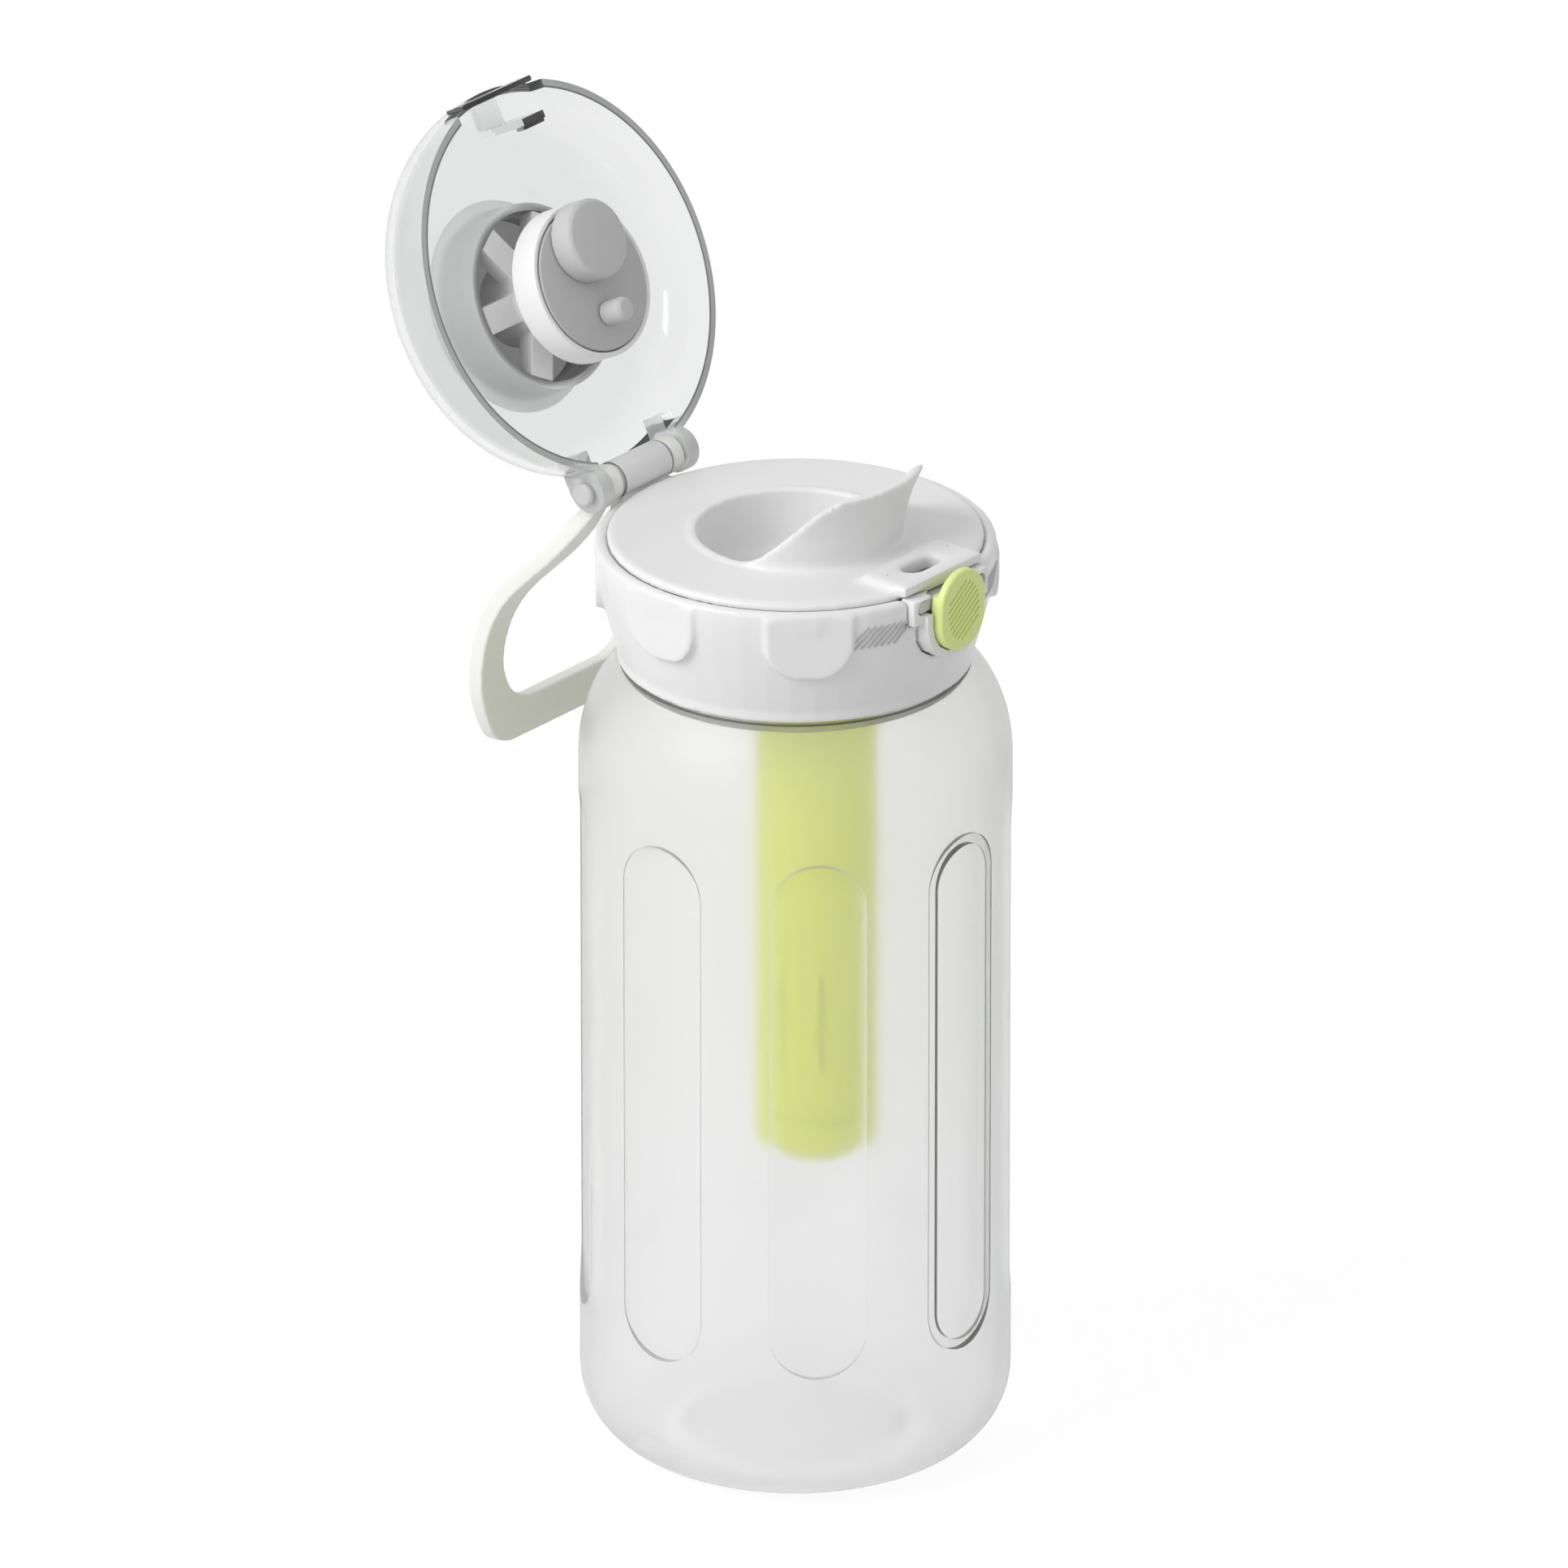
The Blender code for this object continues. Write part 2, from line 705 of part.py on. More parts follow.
def lip_cutter():
    # Everything over the S-shaped line, seen from the side, is taken off the turned lip.
    reach = WELL_RADIUS + SPOUT_FLARE + SPOUT_WALL + OVERRUN
    steps = 3 * ARC_STEPS
    line = []
    for step in range(steps + 1):
        y = reach - 2 * reach * step / steps
        line.append((y, DECK_TOP + spout_height(y)))
    top = DECK_TOP + SPOUT_RISE + OVERRUN + OVERRUN
    line += [(-reach, top), (reach, top)]
    return side_shape("lip_cutter", [line], 2 * reach)


def make_deck():
    deck = turned("spout_deck", deck_profile(), CAP_STEPS)
    cut(deck, lip_cutter())
    tongue = block(
        "tongue",
        (-TONGUE_WIDTH / 2, -TONGUE_FRONT, CROWN_TOP + GAP),
        (TONGUE_WIDTH / 2, -TONGUE_BACK, TONGUE_TOP),
    )
    bevel(tongue, CROWN_CHAMFER)
    join(deck, tongue)
    slot = flat_shape("latch_slot", [pill_points(SLOT_WIDTH, SLOT_DEPTH)], TONGUE_TOP - DECK_UNDER
                      + 2 * OVERRUN)
    slot.data.transform(Matrix.Rotation(-math.pi / 2, 4, "X"))
    moved(slot, y=LATCH_SLOT_Y, z=(TONGUE_TOP + DECK_UNDER) / 2)
    cut(deck, slot)
    tube_y = -DRINK_OFFSET
    socket_bore = TUBE_RADIUS + GAP
    socket = ring("tube_socket", socket_bore, socket_bore + SOCKET_WALL,
                  FLOOR_UNDER - SOCKET_DEPTH, FLOOR_UNDER + WELL_FLOOR_THICKNESS / 2,
                  CAP_STEPS, (0, tube_y, 0))
    join(deck, socket)
    drink = disc("drink_hole", DRINK_RADIUS, FLOOR_UNDER - OVERRUN, WELL_FLOOR + OVERRUN,
                 SMALL_STEPS, (0, tube_y, 0))
    cut(deck, drink)
    vent = disc("vent_hole", VENT_RADIUS, FLOOR_UNDER - OVERRUN, WELL_FLOOR + OVERRUN,
                SMALL_STEPS, (0, VENT_OFFSET, 0))
    cut(deck, vent)
    return as_part(deck, "spout_deck", WHITE, 0.35)


def make_gasket():
    gasket = ring("neck_gasket", NECK_RADIUS - GASKET_WIDTH, NECK_RADIUS,
                  NECK_TOP + GAP, FLOOR_UNDER - GAP, BODY_STEPS)
    return as_part(gasket, "neck_gasket", SILICONE, 0.6)


# Latch housing, slide, button and spring


def housing_outline(name, spare, front, back, top):
    # The latch block: a rounded rim round the button, and wings for the slide's window.
    depth = front - back
    width = BUTTON_WIDTH + 2 * (BUTTON_CLEARANCE + BEZEL_WALL + spare)
    height = BUTTON_HEIGHT + 2 * (BUTTON_CLEARANCE + BEZEL_WALL + spare)
    rim = flat_shape(name, [pill_points(width, height)], depth)
    moved(rim, y=-(back + depth / 2), z=BUTTON_CENTRE)
    half = HOUSING_WIDTH / 2 + spare
    wings = block(name + "_wings", (-half, -front, CROWN_TOP - HOUSING_WING - spare), (half, -back, top))
    return rim, wings


def make_housing():
    half = HOUSING_WIDTH / 2
    rim, housing = housing_outline("bezel", 0.0, HOUSING_FRONT, HOUSING_BACK, CROWN_TOP)
    bevel(housing, CROWN_CHAMFER / 2, 1)
    rim_front, spare_wings = housing_outline("bezel_front", 0.0, HOUSING_FRONT + BEZEL_REACH,
                                             HOUSING_BACK + OVERRUN, CROWN_TOP)
    bpy.data.objects.remove(spare_wings, do_unlink=True)
    over_crown = block("over_crown", (-half, -HOUSING_FRONT - BEZEL_REACH - OVERRUN, CROWN_TOP - GAP),
                       (half, 0, CROWN_TOP + BUTTON_HEIGHT))
    cut(rim, over_crown)
    over_rim = block("over_rim", (-half, -HOUSING_FRONT - BEZEL_REACH - OVERRUN, SLIDE_UNDER - GAP),
                     (half, 0, CROWN_TOP + BUTTON_HEIGHT))
    cut(rim_front, over_rim)
    join(housing, rim)
    join(housing, rim_front)
    pocket_width = BUTTON_WIDTH + 2 * BUTTON_CLEARANCE
    pocket_height = BUTTON_HEIGHT + 2 * BUTTON_CLEARANCE
    pocket_depth = HOUSING_FRONT + BEZEL_REACH + OVERRUN - POCKET_BOTTOM
    pocket = flat_shape("button_pocket", [pill_points(pocket_width, pocket_height)], pocket_depth)
    moved(pocket, y=-(POCKET_BOTTOM + pocket_depth / 2), z=BUTTON_CENTRE)
    cut(housing, pocket)
    window_depth = HOUSING_FRONT + BEZEL_REACH - HOUSING_BACK + 2 * OVERRUN
    window = flat_shape(
        "slide_window",
        [pill_points(SLIDE_BAR_WIDTH + 2 * BUTTON_CLEARANCE, SLIDE_THICKNESS + 2 * BUTTON_CLEARANCE)],
        window_depth,
    )
    moved(window, y=-(HOUSING_BACK - OVERRUN + window_depth / 2), z=(SLIDE_TOP + SLIDE_UNDER) / 2)
    cut(housing, window)
    hole = block(
        "stem_hole",
        (-STEM_WIDTH / 2 - BUTTON_CLEARANCE, -HOUSING_FRONT - BEZEL_REACH,
         STEM_TOP - STEM_HEIGHT - BUTTON_CLEARANCE),
        (STEM_WIDTH / 2 + BUTTON_CLEARANCE, -HOUSING_BACK + OVERRUN, SLIDE_UNDER),
    )
    cut(housing, hole)
    under_deck = disc("under_deck", DECK_RADIUS + GAP + GAP, DECK_UNDER - GAP, TONGUE_TOP, CAP_STEPS)
    cut(housing, under_deck)
    return as_part(housing, "latch_housing", WHITE, 0.4)


def make_slide():
    front = BUTTON_BACK - GAP
    bar = flat_shape("latch_slide", [pill_points(SLIDE_BAR_WIDTH, SLIDE_THICKNESS)], SLIDE_BAR_DEPTH)
    moved(bar, y=-(front - SLIDE_BAR_DEPTH / 2), z=(SLIDE_TOP + SLIDE_UNDER) / 2)
    plate = block("slide_plate", (-SLIDE_WIDTH / 2, -front + SLIDE_BAR_DEPTH / 2, SLIDE_UNDER),
                  (SLIDE_WIDTH / 2, -SLIDE_BACK, SLIDE_TOP))
    join(bar, plate)
    window_front = LATCH_SLOT_Y - HOOK_THICKNESS / 2 - BUTTON_TRAVEL - GAP - GAP
    window = block(
        "hook_window",
        (-SLIDE_WINDOW_WIDTH / 2, window_front, SLIDE_UNDER - OVERRUN),
        (SLIDE_WINDOW_WIDTH / 2, -SLIDE_BACK - SLIDE_REAR_BAR, SLIDE_TOP + OVERRUN),
    )
    cut(bar, window)
    return as_part(bar, "latch_slide", LIGHT_GREY, 0.35)


def make_button():
    button = flat_shape("release_button", [pill_points(BUTTON_WIDTH, BUTTON_HEIGHT)], BUTTON_THICKNESS)
    moved(button, y=-(BUTTON_BACK + BUTTON_THICKNESS / 2), z=BUTTON_CENTRE)
    bevel(button, BUTTON_EDGE, 2, 60.0)
    relief = block(
        "button_relief",
        (-BUTTON_WIDTH, -BUTTON_BACK - BUTTON_RELIEF, CROWN_TOP - GAP),
        (BUTTON_WIDTH, -BUTTON_BACK + OVERRUN, BUTTON_CENTRE + BUTTON_HEIGHT),
    )
    cut(button, relief)
    stem = block("button_stem", (-STEM_WIDTH / 2, -BUTTON_BACK - BUTTON_THICKNESS / 2, STEM_TOP
                 - STEM_HEIGHT), (STEM_WIDTH / 2, -STEM_END, STEM_TOP))
    join(button, stem)
    return as_part(button, "release_button", GREEN, 0.4)


def make_button_spring():
    length = STEM_END - WELL_OUTSIDE - 2 * GAP
    spring = coil("button_spring", BUTTON_SPRING_RADIUS, BUTTON_SPRING_WIRE, length, BUTTON_SPRING_TURNS)
    spring.data.transform(Matrix.Rotation(math.pi / 2, 4, "X"))
    moved(spring, y=-(WELL_OUTSIDE + GAP), z=STEM_TOP - STEM_HEIGHT + BUTTON_SPRING_LIFT)
    return as_part(spring, "button_spring", STEEL, 0.3, 1.0)


# Hinge pin, its caps and the lid spring


def make_pin():
    pin = disc("hinge_pin", PIN_RADIUS, -PIN_END, PIN_END, SMALL_STEPS, (0, HINGE_Y, HINGE_Z), True)
    as_part(pin, "hinge_pin", STEEL, 0.25, 1.0)
    for side, name in ((-1, "pin_cap_left"), (1, "pin_cap_right")):
        start = PIN_END + GAP
        cap = disc(name, PIN_HEAD_RADIUS, 0, PIN_HEAD_LENGTH, SMALL_STEPS, edge=CROWN_CHAMFER / 2)
        cap.rotation_euler = (0, -side * math.pi / 2, 0)
        cap.location = (side * (start + PIN_HEAD_LENGTH), HINGE_Y, HINGE_Z)
        as_part(cap, name, LIGHT_GREY, 0.3)


def make_lid_spring():
    length = BARREL_LENGTH - 2 * HINGE_CHEEK - 2 * GAP
    spring = coil("lid_spring", LID_SPRING_RADIUS, LID_SPRING_WIRE, length, LID_SPRING_TURNS)
    moved(spring, z=-length / 2)
    spring.rotation_euler = (0, math.pi / 2, 0)
    spring.location = (0, HINGE_Y, HINGE_Z)
    return as_part(spring, "lid_spring", STEEL, 0.3, 1.0)


# The lid and its plug are built shut, as (x, y, z) where they lie on the cap, and hang on
# an empty on the hinge axis, which is then turned to stand them open.


def lid_profile():
    outer_top = arc(CROWN_RADIUS - LID_CORNER, LID_TOP - LID_CORNER, LID_CORNER, LID_CORNER,
                    90, 0, ARC_STEPS)
    inner_corner = LID_CORNER - LID_WALL
    inner_radius = CROWN_RADIUS - LID_WALL
    inner_top = arc(inner_radius - inner_corner, LID_CEILING - inner_corner,
                    inner_corner, inner_corner, 0, 90, ARC_STEPS)
    return (
        [(0, LID_TOP)]
        + outer_top
        + [(CROWN_RADIUS, RIM_BOTTOM), (inner_radius, RIM_BOTTOM)]
        + inner_top
        + [(0, LID_CEILING)]
    )


def lid_ear(side):
    # A knuckle with its bore, running forward into the lid's rear wall.
    wall = HINGE_Y - 2 * HINGE_RADIUS
    line = arc(HINGE_Y, HINGE_Z, EAR_RADIUS, EAR_RADIUS, EAR_ARC_DEG, 90, 2 * ARC_STEPS)
    line += [(wall, HINGE_Z + EAR_RADIUS), (wall, line[0][1] - GAP)]
    bore = arc(HINGE_Y, HINGE_Z, HINGE_BORE, HINGE_BORE, 0, 360, 2 * ARC_STEPS)[1:]
    ear = side_shape(f"ear_{side}", [line, bore], EAR_LENGTH)
    return moved(ear, x=side * (EAR_START + EAR_LENGTH / 2))


def make_hook():
    # A blade that hangs through the deck's slot, on a shelf from the lid's front wall.
    front = LATCH_SLOT_Y - HOOK_THICKNESS / 2
    back = front + HOOK_THICKNESS
    low = RIM_BOTTOM - HOOK_DEPTH
    wall = -CROWN_RADIUS + LID_WALL / 2
    shelf_low = NOTCH_TOP + GAP
    shelf_top = shelf_low + HOOK_SHELF
    line = [
        (front, low),
        (back, low),
        (back + HOOK_BARB, low + HOOK_BARB),
        (back + HOOK_BARB, low + HOOK_BARB_HEIGHT),
        (back, low + HOOK_BARB_HEIGHT),
        (back, shelf_top),
        (wall, shelf_top),
        (wall, shelf_low),
        (front, shelf_low),
    ]
    return side_shape("hook", [line], HOOK_WIDTH)


def make_lid():
    lid = turned("lid_shell", lid_profile(), CAP_STEPS)
    front = block(
        "front_notch",
        (-NOTCH_WIDTH / 2, -CROWN_RADIUS - OVERRUN, RIM_BOTTOM - OVERRUN),
        (NOTCH_WIDTH / 2, -TONGUE_BACK, NOTCH_TOP),
    )
    cut(lid, front)
    clear = HINGE_RADIUS + 2 * HINGE_SPACE
    notch_half = EAR_START + HINGE_SPACE
    rear = block(
        "rear_notch",
        (-notch_half, HINGE_Y - clear - clear, RIM_BOTTOM - OVERRUN),
        (notch_half, HINGE_Y + clear, HINGE_Z + clear),
    )
    cut(lid, rear)
    flap = block(
        "front_flap",
        (-FLAP_WIDTH / 2, -FLAP_FRONT, RIM_BOTTOM),
        (FLAP_WIDTH / 2, -FLAP_FRONT + FLAP_THICKNESS, NOTCH_TOP + FLAP_LAP),
    )
    bevel(flap, GAP, 1)
    join(lid, flap)
    join(lid, make_hook())
    for side in (-1, 1):
        join(lid, lid_ear(side))
    socket = ring("plug_ring", RING_RADIUS - RING_WALL, RING_RADIUS, LID_CEILING - RING_DEPTH,
                  LID_CEILING + LID_WALL / 2, CAP_STEPS, (0, PLUG_OFFSET, 0))
    join(lid, socket)
    return as_part(lid, "lid_shell", CLEAR, 0.15)


def make_carrier():
    # A cup that opens downwards, on a stem with a row of tabs that hold it in the lid's ring.
    centre = (0, PLUG_OFFSET, 0)
    top = PLUG_FACE + PLUG_DEPTH
    floor = PLUG_FACE + PAD_THICKNESS
    stem_top = LID_CEILING - GAP
    profile = [
        (0, stem_top),
        (PLUG_STEM_RADIUS, stem_top),
        (PLUG_STEM_RADIUS, top),
        (PLUG_RADIUS - PLUG_EDGE, top),
        (PLUG_RADIUS, top - PLUG_EDGE),
        (PLUG_RADIUS, PLUG_FACE),
        (PLUG_RADIUS - PLUG_RIM, PLUG_FACE),
        (PLUG_RADIUS - PLUG_RIM, floor),
        (0, floor),
    ]
    carrier = turned("plug_carrier", profile, CAP_STEPS, False, centre)
    tab_out = RING_RADIUS - RING_WALL - GAP
    low = LID_CEILING - RING_DEPTH
    for index in range(PLUG_TAB_COUNT):
        tab = block(f"plug_tab_{index}", (-PLUG_TAB_WIDTH / 2, PLUG_STEM_RADIUS - PLUG_EDGE, low),
                    (PLUG_TAB_WIDTH / 2, tab_out, low + PLUG_TAB_HEIGHT))
        tab.rotation_euler = (0, 0, math.tau * (index + 0.5) / PLUG_TAB_COUNT)
        tab.location = centre
        join(carrier, tab)
    return as_part(carrier, "plug_carrier", WHITE, 0.4)


def make_seals():
    centre = (0, PLUG_OFFSET, 0)
    pad_low = PLUG_FACE - PAD_PROUD
    pad = disc("seal_pad", PLUG_RADIUS - PLUG_RIM - GAP, pad_low, PLUG_FACE + PAD_THICKNESS - GAP,
               CAP_STEPS, centre)
    as_part(pad, "seal_pad", SILICONE, 0.55)
    pieces = [pad]
    seats = (
        ("drink_plug", DRINK_PLUG_RADIUS, -DRINK_OFFSET),
        ("vent_plug", VENT_PLUG_RADIUS, VENT_OFFSET),
    )
    for name, radius, y in seats:
        plug = disc(name, radius, WELL_FLOOR + GAP, pad_low - GAP, SMALL_STEPS, (0, y, 0),
                    edge=PLUG_EDGE)
        pieces.append(as_part(plug, name, SILICONE, 0.5))
    return pieces


def hang_on_hinge(name, objects):
    # Parents the pieces, and the guides that cut and join them, to an empty on the axis.
    pivot = bpy.data.objects.new(name, None)
    pivot.location = (0, HINGE_Y, HINGE_Z)
    PARTS.objects.link(pivot)
    bpy.context.view_layer.update()
    waiting = list(objects)
    held = []
    while waiting:
        obj = waiting.pop()
        if obj in held:
            continue
        held.append(obj)
        waiting += [m.object for m in obj.modifiers if m.type == "BOOLEAN" and m.object]
    for obj in held:
        obj.parent = pivot
        obj.matrix_parent_inverse = pivot.matrix_world.inverted()
    return pivot


# Carry loop


def loop_outline():
    # Half of the flat band as (x, distance along it), out and down, then back up inside.
    outer_eye = EYE_START + EYE_LENGTH - STRAP_EYE_INSET
    inner_eye = EYE_START + STRAP_EYE_INSET
    half = LOOP_HALF_WIDTH + STRAP_WIDTH / 2
    inner_half = LOOP_HALF_WIDTH - STRAP_WIDTH / 2
    end = LOOP_LENGTH + STRAP_WIDTH / 2
    inner_end = LOOP_LENGTH - STRAP_WIDTH / 2
    outer = [(outer_eye, 0), (outer_eye, end * LOOP_EYE_END_SHARE)]
    outer += [(half * across, end * along) for across, along in LOOP_OUTER_SHARES]
    inner = [(inner_half * across, inner_end * along) for across, along in LOOP_INNER_SHARES]
    inner += [(inner_eye, inner_end * LOOP_LEG_START_SHARE), (inner_eye, 0)]
    return smooth_line(outer), smooth_line(inner)


def smooth_line(points):
    # Rounds a line of points off, passing through each of them.
    padded = [points[0], *points, points[-1]]
    line = []
    for index in range(1, len(padded) - 2):
        a, b, c, d = (Vector(p) for p in padded[index - 1 : index + 3])
        for step in range(LINE_STEPS):
            t = step / LINE_STEPS
            line.append(tuple(b + (c - a) * t / 2 + (2 * a - 5 * b + 4 * c - d) * t * t / 2
                              + (3 * b - a - 3 * c + d) * t * t * t / 2))
    line.append(points[-1])
    return line


def side_point(distance):
    # Where the band's middle is, and which way it runs, at a distance along it.
    line = smooth_line([(LOOP_LENGTH * out, -LOOP_LENGTH * down) for out, down in LOOP_SIDE_SHARES])
    walked = 0
    for start, end in zip(line, line[1:]):
        start = Vector(start)
        step = Vector(end) - start
        if walked + step.length >= distance or end == line[-1]:
            way = step.normalized()
            return start + way * (distance - walked), way
        walked += step.length


def make_handle():
    outer, inner = loop_outline()
    left = [(-x, run) for x, run in reversed(outer)]
    left_inner = [(-x, run) for x, run in reversed(inner)]
    band = outer + left + left_inner + inner
    handle = flat_shape("carry_handle", [band], STRAP_THICKNESS)
    work = bmesh.new()
    work.from_mesh(handle.data)
    # Even cuts across the band let it bend. A cut beside a corner passes through that corner.
    end = LOOP_LENGTH + STRAP_WIDTH / 2
    bends = round(end / LOOP_BEND_STEP)
    for level in range(1, bends):
        cut_at = (0, 0, end * level / bends)
        everything = list(work.verts) + list(work.edges) + list(work.faces)
        bmesh.ops.bisect_plane(work, geom=everything, plane_co=cut_at, plane_no=(0, 0, 1),
                               dist=STRAP_EDGE / 4)
    for vert in work.verts:
        place_at, way = side_point(vert.co.z)
        across = Vector((-way[1], way[0]))
        spot = place_at + across * vert.co.y
        vert.co = (vert.co.x, HINGE_Y + spot[0], HINGE_Z + spot[1])
    bmesh.ops.recalc_face_normals(work, faces=work.faces)
    work.to_mesh(handle.data)
    work.free()
    bevel(handle, STRAP_EDGE, 2, 50.0)
    for side in (-1, 1):
        low = min(side * EYE_START, side * (EYE_START + EYE_LENGTH))
        eye = disc(f"eye_{side}", HINGE_RADIUS, low, low + EYE_LENGTH, SMALL_STEPS,
                   (0, HINGE_Y, HINGE_Z), True)
        join(handle, eye)
    bore = disc("eye_bore", HINGE_BORE, -PIN_END, PIN_END, SMALL_STEPS, (0, HINGE_Y, HINGE_Z), True)
    cut(handle, bore)
    return as_part(handle, "carry_handle", WHITE, 0.45)


# Infuser tube, its end cap and its seal


def make_tube():
    centre = (0, -DRINK_OFFSET, 0)
    low = TUBE_BOTTOM + END_CAP_HEIGHT
    seal_room = TUBE_SEAL_WIDTH + GAP
    top = FLOOR_UNDER - seal_room - GAP
    tube = ring("infuser_tube", TUBE_RADIUS - TUBE_WALL, TUBE_RADIUS, low + GAP, top,
                CAP_STEPS, centre)
    for index in range(TUBE_SLOT_COUNT // 2):
        slot = flat_shape(f"tube_slot_{index}", [pill_points(TUBE_SLOT_WIDTH, TUBE_SLOT_HEIGHT)],
                          2 * (TUBE_RADIUS + OVERRUN))
        moved(slot, z=low + TUBE_SLOT_BASE + TUBE_SLOT_HEIGHT / 2)
        slot.rotation_euler = (0, 0, math.pi * 2 * index / TUBE_SLOT_COUNT)
        slot.location = centre
        cut(tube, slot)
    return as_part(tube, "infuser_tube", GREEN, 0.4)


def make_end_cap():
    # A cup that closes the foot of the tube, with a spigot that goes up inside it.
    centre = (0, -DRINK_OFFSET, 0)
    bore = TUBE_RADIUS - TUBE_WALL
    spigot = bore - GAP
    top = TUBE_BOTTOM + END_CAP_HEIGHT
    profile = (
        [(0, TUBE_BOTTOM + END_CAP_FLOOR), (spigot - TUBE_WALL, TUBE_BOTTOM + END_CAP_FLOOR)]
        + [(spigot - TUBE_WALL, top + END_CAP_CORNER), (spigot, top + END_CAP_CORNER)]
        + [(spigot, top), (TUBE_RADIUS, top)]
        + arc(TUBE_RADIUS - END_CAP_CORNER, TUBE_BOTTOM + END_CAP_CORNER, END_CAP_CORNER,
              END_CAP_CORNER, 0, -90, 4)
        + [(0, TUBE_BOTTOM)]
    )
    cap = turned("infuser_cap", profile, CAP_STEPS, False, centre)
    reach = bore * END_HOLE_RING_SHARE
    for index in range(END_HOLE_COUNT):
        angle = math.tau * (index + END_HOLE_TURN_SHARE) / END_HOLE_COUNT
        hole = disc(f"end_hole_{index}", END_HOLE_RADIUS, TUBE_BOTTOM - OVERRUN,
                    TUBE_BOTTOM + END_CAP_FLOOR + OVERRUN, ARC_STEPS,
                    (reach * math.cos(angle), reach * math.sin(angle) - DRINK_OFFSET, 0))
        cut(cap, hole)
    return as_part(cap, "infuser_cap", GREEN, 0.4)


def make_tube_seal():
    low = FLOOR_UNDER - GAP - TUBE_SEAL_WIDTH
    seal = ring("infuser_seal", TUBE_RADIUS - TUBE_WALL, TUBE_RADIUS, low, FLOOR_UNDER - GAP,
                CAP_STEPS, (0, -DRINK_OFFSET, 0))
    return as_part(seal, "infuser_seal", SILICONE, 0.6)


make_body()
make_shell()
make_deck()
make_gasket()
make_housing()
make_slide()
make_button()
make_button_spring()
make_pin()
make_lid_spring()
make_handle()
make_tube()
make_end_cap()
make_tube_seal()
lid_pieces = [make_lid(), make_carrier()] + make_seals()
lid_pivot = hang_on_hinge("lid_pivot", lid_pieces)
lid_pivot.rotation_euler = (-math.radians(LID_OPEN_DEG), 0, 0)
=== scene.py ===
import json
import math

import bmesh
import bpy
from mathutils import Matrix, Vector

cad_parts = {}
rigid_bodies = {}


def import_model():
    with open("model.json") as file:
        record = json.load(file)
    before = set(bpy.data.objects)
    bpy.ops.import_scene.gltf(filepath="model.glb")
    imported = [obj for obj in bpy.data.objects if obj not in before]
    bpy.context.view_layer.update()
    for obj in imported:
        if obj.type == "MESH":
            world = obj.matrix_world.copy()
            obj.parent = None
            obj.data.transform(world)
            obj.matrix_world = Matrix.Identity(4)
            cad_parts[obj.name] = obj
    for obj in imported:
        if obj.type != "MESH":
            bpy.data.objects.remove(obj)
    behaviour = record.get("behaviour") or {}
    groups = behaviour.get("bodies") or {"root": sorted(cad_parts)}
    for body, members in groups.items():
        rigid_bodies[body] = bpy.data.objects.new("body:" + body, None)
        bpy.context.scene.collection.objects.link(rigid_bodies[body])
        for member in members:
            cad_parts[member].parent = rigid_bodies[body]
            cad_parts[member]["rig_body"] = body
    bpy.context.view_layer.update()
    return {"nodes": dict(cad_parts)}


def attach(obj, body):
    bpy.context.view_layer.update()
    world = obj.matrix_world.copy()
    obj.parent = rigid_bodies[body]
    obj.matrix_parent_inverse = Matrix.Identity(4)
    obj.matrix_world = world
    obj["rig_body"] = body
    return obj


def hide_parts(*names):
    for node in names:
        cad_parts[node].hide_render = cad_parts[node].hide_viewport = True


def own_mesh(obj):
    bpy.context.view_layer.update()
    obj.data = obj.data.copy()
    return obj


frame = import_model()
nodes = frame["nodes"]
print("frame loaded")

# Camera: a long lens from far off, looking down at the front left. The photo's pixels give the place
# of the bottle's axis and of the middle of its base.
cameraSettings = {
    "azimuthDeg": -51.0,
    "elevationDeg": 23.6,
    "distance": 6.0,
    "pixelsPerMetre": 5890.0,
    "imagePixels": 1932.0,
    "axisPixelX": 980.0,
    "basePixelY": 1761.0,
    "sensor": 36.0,
    "nearest": 0.1,
    "farthest": 50.0,
}


def makeCamera(s):
    azimuth = math.radians(s["azimuthDeg"])
    elevation = math.radians(s["elevationDeg"])
    right = Vector((math.cos(azimuth), math.sin(azimuth), 0))
    up = Vector((-math.sin(azimuth) * math.sin(elevation),
                 math.cos(azimuth) * math.sin(elevation), math.cos(elevation)))
    back = right.cross(up)
    half = s["imagePixels"] / 2
    across = (half - s["axisPixelX"]) / s["pixelsPerMetre"]
    rise = (s["basePixelY"] - half) / s["pixelsPerMetre"]
    data = bpy.data.cameras.new("mainCamera")
    data.sensor_width = s["sensor"]
    data.lens = s["distance"] * s["sensor"] * s["pixelsPerMetre"] / s["imagePixels"]
    data.clip_start = s["nearest"]
    data.clip_end = s["farthest"]
    data.dof.use_dof = False
    camera = bpy.data.objects.new("mainCamera", data)
    bpy.context.scene.collection.objects.link(camera)
    camera.location = right * across + up * rise + back * s["distance"]
    camera.rotation_mode = "QUATERNION"
    camera.rotation_quaternion = (-back).to_track_quat("-Z", "Y")
    bpy.context.scene.camera = camera


makeCamera(cameraSettings)
print("camera made")


# Small helpers for shader trees
def newTree(material):
    material.use_nodes = True
    tree = material.node_tree
    tree.nodes.clear()
    return tree


def addNode(tree, kind, inputs=None, **facts):
    node = tree.nodes.new(kind)
    for key, value in facts.items():
        setattr(node, key, value)
    for key, value in (inputs or {}).items():
        node.inputs[key].default_value = value
    return node


def link(tree, source, target):
    tree.links.new(source, target)


